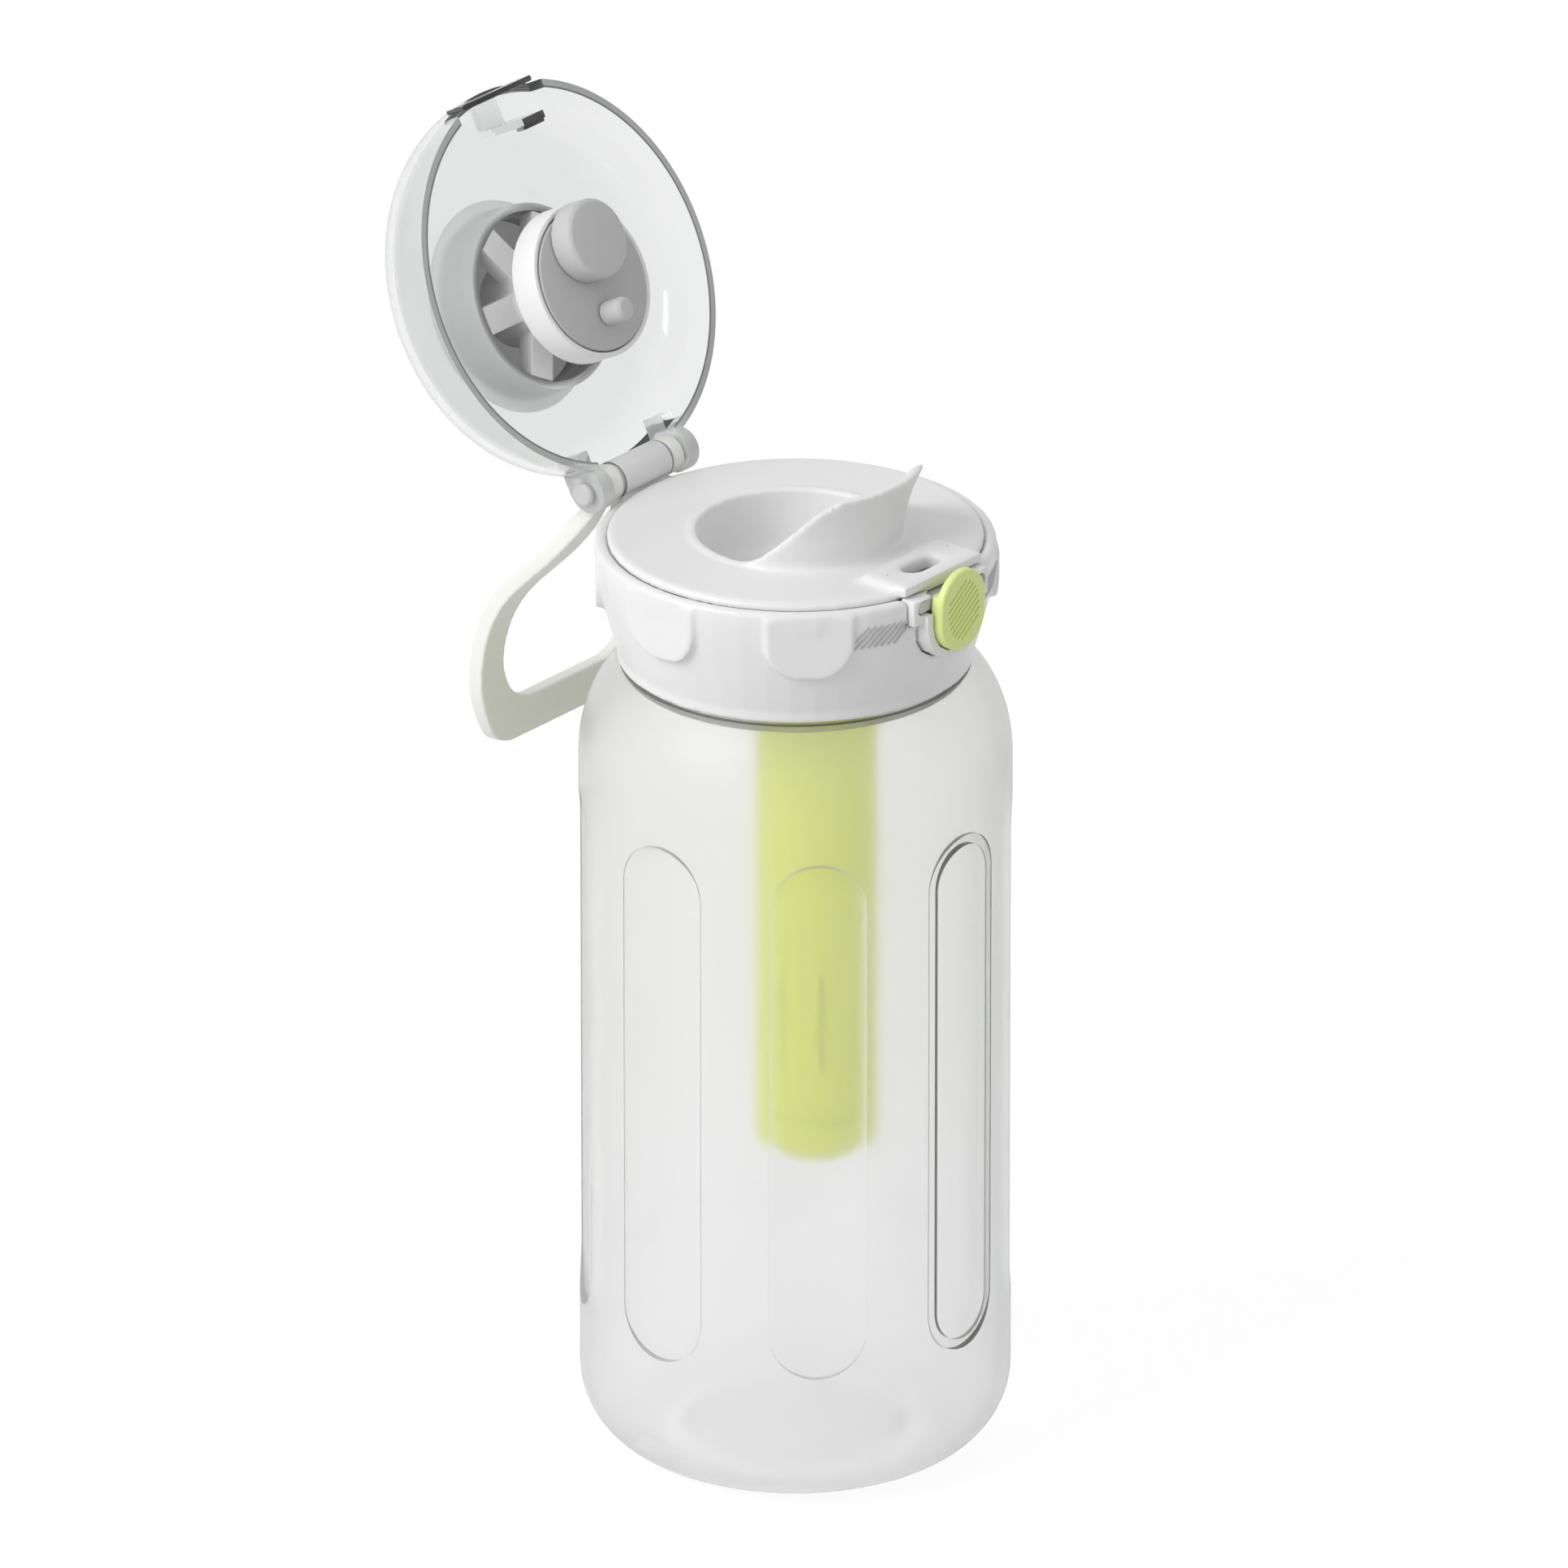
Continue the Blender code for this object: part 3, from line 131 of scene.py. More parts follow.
# Grain of moulded surfaces: a slightly uneven tone and roughness, and a fine bump
grainSettings = {
    "broadScale": 60.0,
    "broadDetail": 3.0,
    "fineDetail": 2.0,
    "noiseMiddle": 0.5,
    "bumpStrength": 0.3,
}


def makeGrainGroup(s):
    group = bpy.data.node_groups.new("mouldedGrain", "ShaderNodeTree")
    face = group.interface
    for name, kind in (("Color", "NodeSocketColor"), ("Tone Spread", "NodeSocketFloat"),
                       ("Grain Scale", "NodeSocketFloat"), ("Grain Height", "NodeSocketFloat"),
                       ("Roughness", "NodeSocketFloat"), ("Roughness Spread", "NodeSocketFloat")):
        face.new_socket(name=name, in_out="INPUT", socket_type=kind)
    for name, kind in (("Color", "NodeSocketColor"), ("Roughness", "NodeSocketFloat"),
                       ("Normal", "NodeSocketVector")):
        face.new_socket(name=name, in_out="OUTPUT", socket_type=kind)
    enter = group.nodes.new("NodeGroupInput")
    leave = group.nodes.new("NodeGroupOutput")
    place = group.nodes.new("ShaderNodeTexCoord")
    broad = addNode(group, "ShaderNodeTexNoise", {"Scale": s["broadScale"], "Detail": s["broadDetail"]})
    fine = addNode(group, "ShaderNodeTexNoise", {"Detail": s["fineDetail"]})
    link(group, place.outputs["Object"], broad.inputs["Vector"])
    link(group, place.outputs["Object"], fine.inputs["Vector"])
    link(group, enter.outputs["Grain Scale"], fine.inputs["Scale"])
    centred = addNode(group, "ShaderNodeMath", {1: s["noiseMiddle"]}, operation="SUBTRACT")
    link(group, broad.outputs["Fac"], centred.inputs[0])
    lift = addNode(group, "ShaderNodeMath", {2: 1.0}, operation="MULTIPLY_ADD")
    link(group, centred.outputs[0], lift.inputs[0])
    link(group, enter.outputs["Tone Spread"], lift.inputs[1])
    tone = addNode(group, "ShaderNodeHueSaturation")
    link(group, enter.outputs["Color"], tone.inputs["Color"])
    link(group, lift.outputs[0], tone.inputs["Value"])
    link(group, tone.outputs["Color"], leave.inputs["Color"])
    wear = addNode(group, "ShaderNodeMath", operation="MULTIPLY_ADD")
    link(group, centred.outputs[0], wear.inputs[0])
    link(group, enter.outputs["Roughness Spread"], wear.inputs[1])
    link(group, enter.outputs["Roughness"], wear.inputs[2])
    link(group, wear.outputs[0], leave.inputs["Roughness"])
    bump = addNode(group, "ShaderNodeBump", {"Strength": s["bumpStrength"]})
    link(group, enter.outputs["Grain Height"], bump.inputs["Distance"])
    link(group, fine.outputs["Fac"], bump.inputs["Height"])
    link(group, bump.outputs["Normal"], leave.inputs["Normal"])
    return group


grainGroup = makeGrainGroup(grainSettings)

# Plastic finishes. Each names the record's slot that its pieces belong to, unless it is only a second
# finish on a piece, and takes the shared values that it doesn't set itself.
sharedFinish = {
    "toneSpread": 0.03,
    "grainScale": 2500.0,
    "grainHeight": 0.00001,
    "roughnessSpread": 0.08,
    "metallic": 0.0,
    "transmission": 0.0,
    "ior": 1.46,
}
finishSettings = {
    "whitePlastic": {"slot": "white_plastic", "color": (0.84, 0.84, 0.84), "roughness": 0.38},
    # Painted shade: this grey stands for the shading of the white grip ribs.
    "ribShadeGrey": {"slot": "white_plastic", "color": (0.52, 0.52, 0.52), "roughness": 0.4},
    "hingeGrey": {"slot": "light_grey_plastic", "color": (0.74, 0.74, 0.74), "roughness": 0.35},
    "slideGrey": {"slot": "light_grey_plastic", "color": (0.62, 0.62, 0.62), "roughness": 0.35},
    # The colour of the moulding marks, and painted shadow on the lines at the hinge sleeve's ends.
    "markAndShadowGrey": {"slot": "light_grey_plastic", "color": (0.25, 0.25, 0.25), "roughness": 0.5},
    "padSilicone": {"slot": "silicone_grey", "color": (0.50, 0.50, 0.50), "roughness": 0.55,
                    "toneSpread": 0.05},
    "plugSilicone": {"slot": "silicone_grey", "color": (0.56, 0.56, 0.56), "roughness": 0.5,
                     "toneSpread": 0.04},
    "gasketSilicone": {"slot": "silicone_grey", "color": (0.60, 0.60, 0.60), "roughness": 0.55},
    "buttonLime": {"slot": "lime_plastic", "color": (0.78, 0.88, 0.33), "roughness": 0.42},
    "infuserLime": {"slot": "infuser_lime", "color": (0.74, 0.82, 0.045), "roughness": 0.4},
    "loopMilky": {"slot": "handle_white", "color": (0.85, 0.86, 0.81), "roughness": 0.45},
    "springSteel": {"slot": "steel", "color": (0.62, 0.63, 0.65), "roughness": 0.25, "metallic": 1.0},
    "frosted": {"slot": "frosted_clear", "color": (0.952, 0.955, 0.955), "roughness": 0.30,
                "transmission": 0.86, "ior": 1.20, "grainHeight": 0.00002},
    # Painted shade: the lid's edge, line and dark finishes stand for the dark look of thick edges in
    # clear plastic; the ear finish is the ears' milky colour.
    "lidEdgeShade": {"color": (0.80, 0.81, 0.81), "roughness": 0.3, "transmission": 0.45, "ior": 1.3},
    "lidLineShade": {"color": (0.30, 0.305, 0.305), "roughness": 0.3, "transmission": 0.3, "ior": 1.3},
    "lidEar": {"color": (0.84, 0.845, 0.845), "roughness": 0.3, "transmission": 0.5, "ior": 1.3},
    "lidDarkShade": {"color": (0.03, 0.03, 0.03), "roughness": 0.25, "transmission": 0.2, "ior": 1.4},
    # Painted shade: the next two paint the fine lines at the bottle's pad steps; the first also paints
    # the shadow in the gap under the collar.
    "padShadeLine": {"color": (0.22, 0.22, 0.22), "roughness": 0.35, "transmission": 0.3, "ior": 1.3},
    "panelShadeLine": {"color": (0.60, 0.605, 0.605), "roughness": 0.35, "transmission": 0.5, "ior": 1.3},
}


def makePlastic(name, facts):
    s = {**sharedFinish, **facts}
    material = bpy.data.materials.new(name)
    tree = newTree(material)
    grain = addNode(tree, "ShaderNodeGroup", {
        "Color": (*s["color"], 1.0), "Tone Spread": s["toneSpread"], "Grain Scale": s["grainScale"],
        "Grain Height": s["grainHeight"], "Roughness": s["roughness"],
        "Roughness Spread": s["roughnessSpread"]}, node_tree=grainGroup)
    shader = addNode(tree, "ShaderNodeBsdfPrincipled", {
        "Metallic": s["metallic"], "Transmission Weight": s["transmission"], "IOR": s["ior"]})
    link(tree, grain.outputs["Color"], shader.inputs["Base Color"])
    link(tree, grain.outputs["Roughness"], shader.inputs["Roughness"])
    link(tree, grain.outputs["Normal"], shader.inputs["Normal"])
    out = addNode(tree, "ShaderNodeOutputMaterial")
    link(tree, shader.outputs["BSDF"], out.inputs["Surface"])
    return material


# The hinge axis, and how far the lid stands open in the photo
hingeSettings = {"y": 0.0428, "z": 0.2066, "openDeg": 118.0}

# Clear finishes of the lid, graded by the distance from an upright axis of the shut lid. The dome is
# palest at its side wall, and the socket carries a painted shade, darkest at the plug.
gradedSettings = {
    "lidClear": {
        "slot": "lid_clear",
        "axisY": 0.0,
        "nearRadius": 0.0330,
        "farRadius": 0.0412,
        "near": (0.785, 0.797, 0.791),
        "far": (0.89, 0.898, 0.894),
        "roughness": 0.06,
        "transmission": 0.96,
        "ior": 1.35,
    },
    # Painted shade: the socket darkens towards the plug, where the hollow round it lies in shade.
    "lidSocketShade": {
        "axisY": 0.0025,
        "nearRadius": 0.0183,
        "farRadius": 0.0201,
        "near": (0.36, 0.36, 0.36),
        "far": (0.84, 0.85, 0.85),
        "roughness": 0.3,
        "transmission": 0.3,
        "ior": 1.3,
    },
}


def makeGradedClear(name, s):
    material = bpy.data.materials.new(name)
    tree = newTree(material)
    openAngle = math.radians(hingeSettings["openDeg"])
    hinge = Vector((0, hingeSettings["y"], hingeSettings["z"]))
    moved = hinge - Matrix.Rotation(openAngle, 3, "X") @ hinge - Vector((0, s["axisY"], 0))
    place = addNode(tree, "ShaderNodeTexCoord")
    shut = addNode(tree, "ShaderNodeMapping", {"Location": moved, "Rotation": (openAngle, 0, 0)})
    level = addNode(tree, "ShaderNodeVectorMath", {1: (1, 1, 0)}, operation="MULTIPLY")
    reach = addNode(tree, "ShaderNodeVectorMath", operation="LENGTH")
    share = addNode(tree, "ShaderNodeMapRange", {"From Min": s["nearRadius"], "From Max": s["farRadius"]},
                    interpolation_type="SMOOTHSTEP")
    tone = addNode(tree, "ShaderNodeMix", data_type="RGBA")
    nearTone, farTone = [socket for socket in tone.inputs if socket.type == "RGBA"]
    nearTone.default_value = (*s["near"], 1)
    farTone.default_value = (*s["far"], 1)
    mixedTone = [socket for socket in tone.outputs if socket.type == "RGBA"][0]
    shader = addNode(tree, "ShaderNodeBsdfPrincipled", {
        "Roughness": s["roughness"], "IOR": s["ior"], "Transmission Weight": s["transmission"]})
    out = addNode(tree, "ShaderNodeOutputMaterial")
    link(tree, place.outputs["Object"], shut.inputs["Vector"])
    link(tree, shut.outputs["Vector"], level.inputs[0])
    link(tree, level.outputs["Vector"], reach.inputs[0])
    link(tree, reach.outputs["Value"], share.inputs["Value"])
    link(tree, share.outputs["Result"], tone.inputs[0])
    link(tree, mixedTone, shader.inputs["Base Color"])
    link(tree, shader.outputs["BSDF"], out.inputs["Surface"])
    return material


finishes = {name: makePlastic(name, facts) for name, facts in finishSettings.items()}
finishes.update({name: makeGradedClear(name, facts) for name, facts in gradedSettings.items()})
print("materials made")


# Small helpers for meshes
def arcPoints(centre, radii, startDeg, endDeg, steps):
    points = []
    for step in range(steps + 1):
        angle = math.radians(startDeg + (endDeg - startDeg) * step / steps)
        points.append((centre[0] + radii[0] * math.cos(angle), centre[1] + radii[1] * math.sin(angle)))
    return points


def spun(points, steps, closed=True, weld=0.000002):
    # A line of (radius, height) points turned about Z.
    work = bmesh.new()
    verts = [work.verts.new((r, 0, z)) for r, z in points]
    edges = [work.edges.new(pair) for pair in zip(verts, verts[1:])]
    if closed:
        edges.append(work.edges.new((verts[-1], verts[0])))
    bmesh.ops.spin(work, geom=verts + edges, cent=(0, 0, 0), axis=(0, 0, 1), angle=math.tau,
                   steps=steps, use_merge=True)
    bmesh.ops.remove_doubles(work, verts=work.verts, dist=weld)
    bmesh.ops.recalc_face_normals(work, faces=work.faces)
    return work


def pill(width, height, depth, segments=48):
    # An upright prism with round ends, facing -Y, from 0 back to its depth.
    work = bmesh.new()
    turn = Matrix.Rotation(math.pi / segments, 4, "Z")
    bmesh.ops.create_circle(work, cap_ends=True, segments=segments, radius=width / 2, matrix=turn)
    for vert in work.verts:
        vert.co.y += math.copysign((height - width) / 2, vert.co.y)
    bmesh.ops.rotate(work, verts=work.verts, cent=(0, 0, 0), matrix=Matrix.Rotation(math.pi / 2, 3, "X"))
    grown = bmesh.ops.extrude_face_region(work, geom=work.faces[:])
    raised = [part for part in grown["geom"] if isinstance(part, bmesh.types.BMVert)]
    bmesh.ops.translate(work, verts=raised, vec=(0, depth, 0))
    bmesh.ops.recalc_face_normals(work, faces=work.faces)
    return work


def brick(low, high):
    work = bmesh.new()
    bmesh.ops.create_cube(work, size=1.0)
    size = [b - a for a, b in zip(low, high)]
    middle = [(a + b) / 2 for a, b in zip(low, high)]
    bmesh.ops.scale(work, verts=work.verts, vec=size)
    bmesh.ops.translate(work, verts=work.verts, vec=middle)
    return work


def rod(radius, depth, segments, taper=1.0):
    # A round rod along Z, with its middle at the origin.
    work = bmesh.new()
    bmesh.ops.create_cone(work, cap_ends=True, segments=segments, radius1=radius,
                          radius2=radius * taper, depth=depth)
    return work


def shifted(work, x=0.0, y=0.0, z=0.0):
    bmesh.ops.translate(work, verts=work.verts, vec=(x, y, z))
    return work


def turnedBy(work, degrees, axis):
    turn = Matrix.Rotation(math.radians(degrees), 3, axis)
    bmesh.ops.rotate(work, verts=work.verts, cent=(0, 0, 0), matrix=turn)
    return work


def asObject(name, work):
    mesh = bpy.data.meshes.new(name)
    work.to_mesh(mesh)
    work.free()
    obj = bpy.data.objects.new(name, mesh)
    bpy.context.scene.collection.objects.link(obj)
    return obj


def gathered(works):
    # Several separate shapes in one bmesh.
    whole = bmesh.new()
    for work in works:
        spare = bpy.data.meshes.new("spare")
        work.to_mesh(spare)
        work.free()
        whole.from_mesh(spare)
        bpy.data.meshes.remove(spare)
    return whole


def bakeModifiers(obj):
    bpy.context.view_layer.update()
    graph = bpy.context.evaluated_depsgraph_get()
    made = bpy.data.meshes.new_from_object(obj.evaluated_get(graph))
    obj.modifiers.clear()
    old = obj.data
    obj.data = made
    bpy.data.meshes.remove(old)
    made.name = obj.name


def carve(obj, work, operation="DIFFERENCE"):
    # Cuts away or joins a shape, and keeps the result as the piece's own mesh.
    tool = asObject("tool", work)
    change = obj.modifiers.new("change", "BOOLEAN")
    change.operation = operation
    change.solver = "EXACT"
    change.object = tool
    bakeModifiers(obj)
    bpy.data.objects.remove(tool, do_unlink=True)


def softEdges(work, width, segments=2, limitDeg=60.0):
    # Rounds the corners sharper than a limit.
    sharp = [edge for edge in work.edges
             if edge.is_manifold and edge.calc_face_angle(0.0) > math.radians(limitDeg)]
    bmesh.ops.bevel(work, geom=sharp, offset=width, offset_type="OFFSET", segments=segments,
                    profile=0.5, affect="EDGES", material=-1, clamp_overlap=True, loop_slide=True)


def smoothFaces(obj, limitDeg=32.0):
    for face in obj.data.polygons:
        face.use_smooth = True
    obj.data.set_sharp_from_angle(angle=math.radians(limitDeg))


def handOver(obj, body, names, replaced=(), faceNames=()):
    # The finishes become the piece's materials, the first one first. Where faces differ, faceNames has
    # one finish for each.
    obj.data.materials.clear()
    for name in names:
        obj.data.materials.append(finishes[name])
    if faceNames:
        obj.data.polygons.foreach_set("material_index", [names.index(name) for name in faceNames])
    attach(obj, body)
    if replaced:
        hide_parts(*replaced)


# Bottle: a turned shell with eight long pads pressed into it, and a raised field in the front one
bottleSettings = {
    "radius": 0.045,
    "wall": 0.0025,
    "baseCorner": 0.017,
    "pushUp": 0.0012,
    "footRadius": 0.0235,
    "footSlope": 0.002,
    "shoulderTop": 0.1760,
    "shoulderDrop": 0.0210,
    "shoulderCentreShare": 0.556,
    "arcSteps": 18,
    "gapRadius": 0.0353,
    "ledgeRadius": 0.0365,
    "neckRadius": 0.0335,
    "neckTop": 0.1872,
    "steps": 192,
    "panelCount": 8,
    "panelWidth": 0.0205,
    "panelHeight": 0.1160,
    "panelBase": 0.0320,
    "panelDepth": 0.0014,
    "border": 0.0022,
    "overcut": 0.002,
    "fieldOvercut": 0.003,
    "wallNear": 0.0005,
    "panelNear": 0.0002,
    "ledgeNear": 0.00005,
    "stepFacing": 0.5,
    "shadeDeg": 28.0,
}


def bottleOutline(s):
    # The outline of the wall, up the inside and down the outside.
    def wallLine(inset):
        centre = s["radius"] * s["shoulderCentreShare"]
        reach = s["radius"] - centre
        start = math.acos((s["ledgeRadius"] - centre) / reach)
        rise = s["shoulderDrop"] / math.sin(start)
        low = s["shoulderTop"] - s["shoulderDrop"]
        corner = s["baseCorner"]
        line = arcPoints((centre, low), (reach - inset, rise - inset), math.degrees(start), 0,
                         s["arcSteps"])
        line += arcPoints((s["radius"] - corner, corner), (corner - inset, corner - inset), 0, -90,
                          s["arcSteps"])
        return line

    outside = [(s["neckRadius"], s["neckTop"]), (s["neckRadius"], s["shoulderTop"]),
               (s["gapRadius"], s["shoulderTop"])] + wallLine(0)
    outside += [(s["footRadius"], 0), (s["footRadius"] - s["footSlope"], s["pushUp"]), (0, s["pushUp"])]
    bore = s["neckRadius"] - s["wall"]
    inside = [(bore, s["neckTop"]), (bore, s["shoulderTop"] - s["wall"])]
    inside += [point for point in wallLine(s["wall"]) if point[0] > bore or point[1] < s["radius"]]
    inside += [(0, s["wall"])]
    return inside[::-1] + outside


def padCutter(s, hasField):
    # What presses in one pad. The front one has a field that stays raised inside its border.
    depth = s["panelDepth"] + s["overcut"]
    middle = s["panelBase"] + s["panelHeight"] / 2
    cutter = shifted(pill(s["panelWidth"], s["panelHeight"], depth),
                     y=-(s["radius"] + s["overcut"]), z=middle)
    if not hasField:
        return cutter
    border = asObject("border", cutter)
    field = pill(s["panelWidth"] - 2 * s["border"], s["panelHeight"] - 2 * s["border"], 2 * depth)
    carve(border, shifted(field, y=-(s["radius"] + s["fieldOvercut"]), z=middle))
    cutter = bmesh.new()
    cutter.from_mesh(border.data)
    bpy.data.objects.remove(border, do_unlink=True)
    return cutter


def bottleFinish(face, s):
    # The step walls round each pad get a darker finish, a painted shade for the fine line that the
    # step shows, darkest on the front one; the ledge in the gap under the collar gets the darkest one as
    # a painted shadow.
    middle = face.center
    pitch = math.tau / s["panelCount"]
    index = round((math.atan2(middle.y, middle.x) + math.pi / 2) / pitch)
    facing = Matrix.Rotation(-index * pitch, 3, "Z") @ face.normal
    fromAxis = middle.to_2d().length
    top = s["panelBase"] + s["panelHeight"]
    onPanel = s["panelBase"] - s["panelNear"] < middle.z < top + s["panelNear"]
    if fromAxis > s["radius"] - s["wall"] + s["wallNear"] and onPanel and abs(facing.y) < s["stepFacing"]:
        return "padShadeLine" if index % s["panelCount"] == 0 else "panelShadeLine"
    inGapShadow = abs(middle.z - s["shoulderTop"]) < s["ledgeNear"] and fromAxis > s["gapRadius"]
    return "padShadeLine" if inGapShadow else "frosted"


def makeBottle(s):
    bottle = asObject("bottleShell", spun(bottleOutline(s), s["steps"], False))
    cutters = [turnedBy(padCutter(s, index == 0), 360.0 * index / s["panelCount"], "Z")
               for index in range(s["panelCount"])]
    carve(bottle, gathered(cutters))
    smoothFaces(bottle, s["shadeDeg"])
    faceNames = [bottleFinish(face, s) for face in bottle.data.polygons]
    handOver(bottle, "bottle", ["frosted", "padShadeLine", "panelShadeLine"], ["bottle_body"], faceNames)


makeBottle(bottleSettings)

# Screw thread round the neck. Its section gives the heights of the ridge's corners.
threadSettings = {
    "neckRadius": bottleSettings["neckRadius"],
    "sunk": 0.0001,
    "proud": 0.0006,
    "section": (0.0005, 0.0009, 0.0014),
    "start": 0.1790,
    "pitch": 0.0038,
    "turns": 1.6,
    "stepsPerTurn": 96,
    "shadeDeg": 25.0,
}


def makeThread(s):
    work = bmesh.new()
    root = s["neckRadius"] - s["sunk"]
    tip = s["neckRadius"] + s["proud"]
    start = s["start"]
    under, over, top = s["section"]
    corners = [work.verts.new(spot) for spot in (
        (root, 0, start), (tip, 0, start + under), (tip, 0, start + over), (root, 0, start + top))]
    work.faces.new(corners)
    steps = round(s["stepsPerTurn"] * s["turns"])
    bmesh.ops.spin(work, geom=work.verts[:] + work.edges[:] + work.faces[:], cent=(0, 0, 0),
                   axis=(0, 0, 1), dvec=(0, 0, s["pitch"] * s["turns"] / steps),
                   angle=math.tau * s["turns"], steps=steps, use_merge=False)
    bmesh.ops.recalc_face_normals(work, faces=work.faces)
    thread = asObject("neckThread", work)
    smoothFaces(thread, s["shadeDeg"])
    handOver(thread, "bottle", ["frosted"])


makeThread(threadSettings)
print("bottle made")

# Infuser tube with its narrow slots
tubeSettings = {
    "radius": 0.0126,
    "wall": 0.0013,
    "low": 0.0773,
    "top": 0.1878,
    "middleY": -0.0055,
    "edge": 0.0003,
    "steps": 96,
    "slotCount": 8,
    "slotWidth": 0.0004,
    "slotHeight": 0.0220,
    "slotMiddle": 0.1000,
    "slotSegments": 16,
}


def makeTube(s):
    bore = s["radius"] - s["wall"]
    line = [(bore, s["top"]), (s["radius"] - s["edge"], s["top"]), (s["radius"], s["top"] - s["edge"]),
            (s["radius"], s["low"] + s["edge"]), (s["radius"] - s["edge"], s["low"]), (bore, s["low"])]
    tube = asObject("infuserSleeve", spun(line, s["steps"]))
    slots = []
    for index in range(s["slotCount"]):
        slot = pill(s["slotWidth"], s["slotHeight"], 2 * s["wall"], s["slotSegments"])
        shifted(slot, y=-s["radius"] - s["wall"] / 2, z=s["slotMiddle"])
        slots.append(turnedBy(slot, 360.0 * index / s["slotCount"], "Z"))
    carve(tube, gathered(slots))
    tube.data.transform(Matrix.Translation((0, s["middleY"], 0)))
    smoothFaces(tube)
    handOver(tube, "infuser", ["infuserLime"], ["infuser_tube"])


makeTube(tubeSettings)
print("tube made")

# Clear lid, made shut over the cap and then swung open on the hinge
lidSettings = {
    "radius": 0.0416,
    "wall": 0.0018,
    "corner": 0.0165,
    "rimBottom": 0.2036,
    "rimLine": 0.00045,
    "ceiling": 0.2230,
    "top": 0.2248,
    "arcSteps": 32,
    "steps": 288,
    "overcut": 0.002,
    "edge": 0.0003,
    "notchWidth": 0.0268,
    "notchTop": 0.2078,
    "notchBack": 0.0270,
    "rearHalf": 0.0125,
    "rearClear": 0.0048,
    "flapWidth": 0.0220,
    "flapFront": 0.0411,
    "flapThickness": 0.0012,
    "flapTop": 0.2090,
    "notchNear": 0.0004,
    "ceilingNear": 0.0001,
    "earNear": 0.0005,
    "flapReach": 0.002,
    "flapNear": 0.0002,
    "tipNear": 0.0005,
    "rimNear": 0.00005,
    "rimFacing": 0.9,
    "shadeDeg": 28.0,
}
hookSettings = {
    "width": 0.0068,
    "middleY": -0.0332,
    "halfThickness": 0.0008,
    "depth": 0.0070,
    "rise": 0.0016,
    "bridgeInset": 0.0009,
    "bridgeBack": 0.0004,
    "bridgeFrom": 0.0003,
    "bridgeTo": 0.0021,
    "barbReach": 0.0016,
    "barbFrom": 0.0004,
    "barbTo": 0.0028,
}
earSettings = {
    "start": 0.0121,
    "length": 0.0036,
    "radius": 0.0046,
    "segments": 48,
    "boreRadius": 0.0014,
    "boreSegments": 32,
    "armLength": 0.0080,
    "armUnder": 0.0009,
    "armInset": 0.00002,
}
socketSettings = {
    "middleY": gradedSettings["lidSocketShade"]["axisY"],
    "radius": 0.0198,
    "wall": 0.0016,
    "depth": 0.0100,
    "sunk": 0.0009,
    "flareRadius": 0.0226,
    "flareDepth": 0.0056,
    "flareGap": 0.00005,
    "flareSteps": 12,
}


def lidOutline(s):
    corner = s["corner"]
    inner = s["radius"] - s["wall"]
    innerCorner = corner - s["wall"]
    line = [(0, s["top"])]
    line += arcPoints((s["radius"] - corner, s["top"] - corner), (corner, corner), 90, 0, s["arcSteps"])
    line += [(s["radius"], s["rimBottom"]), (inner + s["rimLine"], s["rimBottom"]),
             (inner, s["rimBottom"])]
    line += arcPoints((inner - innerCorner, s["ceiling"] - innerCorner), (innerCorner, innerCorner),
                      0, 90, s["arcSteps"])
    return line + [(0, s["ceiling"])]


def addHook(lid, s, t):
    # A blade with its barb under the front edge, and the bridge that joins it to the wall.
    half = t["width"] / 2
    low = s["rimBottom"] - t["depth"]
    carve(lid, brick((-half, t["middleY"] - t["halfThickness"], low),
                     (half, t["middleY"] + t["halfThickness"], s["notchTop"] + t["rise"])), "UNION")
    carve(lid, brick((-half, -s["radius"] + t["bridgeInset"], s["notchTop"] + t["bridgeFrom"]),
                     (half, t["middleY"] + t["bridgeBack"], s["notchTop"] + t["bridgeTo"])), "UNION")
    barb = brick((-half, t["middleY"], low + t["barbFrom"]),
                 (half, t["middleY"] + t["barbReach"], low + t["barbTo"]))
    softEdges(barb, s["edge"])
    carve(lid, barb, "UNION")


def addEars(lid, s, t):
    # Two ears round the pin, each with an arm to the wall.
    y = hingeSettings["y"]
    z = hingeSettings["z"]
    for side in (-1, 1):
        middle = side * (t["start"] + t["length"] / 2)
        ear = shifted(turnedBy(rod(t["radius"], t["length"], t["segments"]), 90.0, "Y"), middle, y, z)
        softEdges(ear, s["edge"])
        arm = brick((middle - t["length"] / 2, y - t["armLength"], z - t["armUnder"]),
                    (middle + t["length"] / 2, y, z + t["radius"] - t["armInset"]))
        carve(lid, arm, "UNION")
        carve(lid, ear, "UNION")
        bore = turnedBy(rod(t["boreRadius"], t["length"] + s["overcut"], t["boreSegments"]), 90.0, "Y")
        carve(lid, shifted(bore, middle, y, z))


def addSocket(lid, s, t):
    # A ring for the plug, flaring softly into the ceiling.
    low = s["ceiling"] - t["depth"]
    bore = t["radius"] - t["wall"]
    reach = t["flareRadius"] - t["radius"]
    line = [(bore, s["ceiling"] + t["sunk"]), (bore, low), (t["radius"], low)]
    line += arcPoints((t["flareRadius"], s["ceiling"] - t["flareDepth"]),
                      (reach, t["flareDepth"] - t["flareGap"]), 180, 90, t["flareSteps"])
    line += [(t["flareRadius"], s["ceiling"] + t["sunk"])]
    carve(lid, shifted(spun(line, s["steps"]), y=t["middleY"]), "UNION")


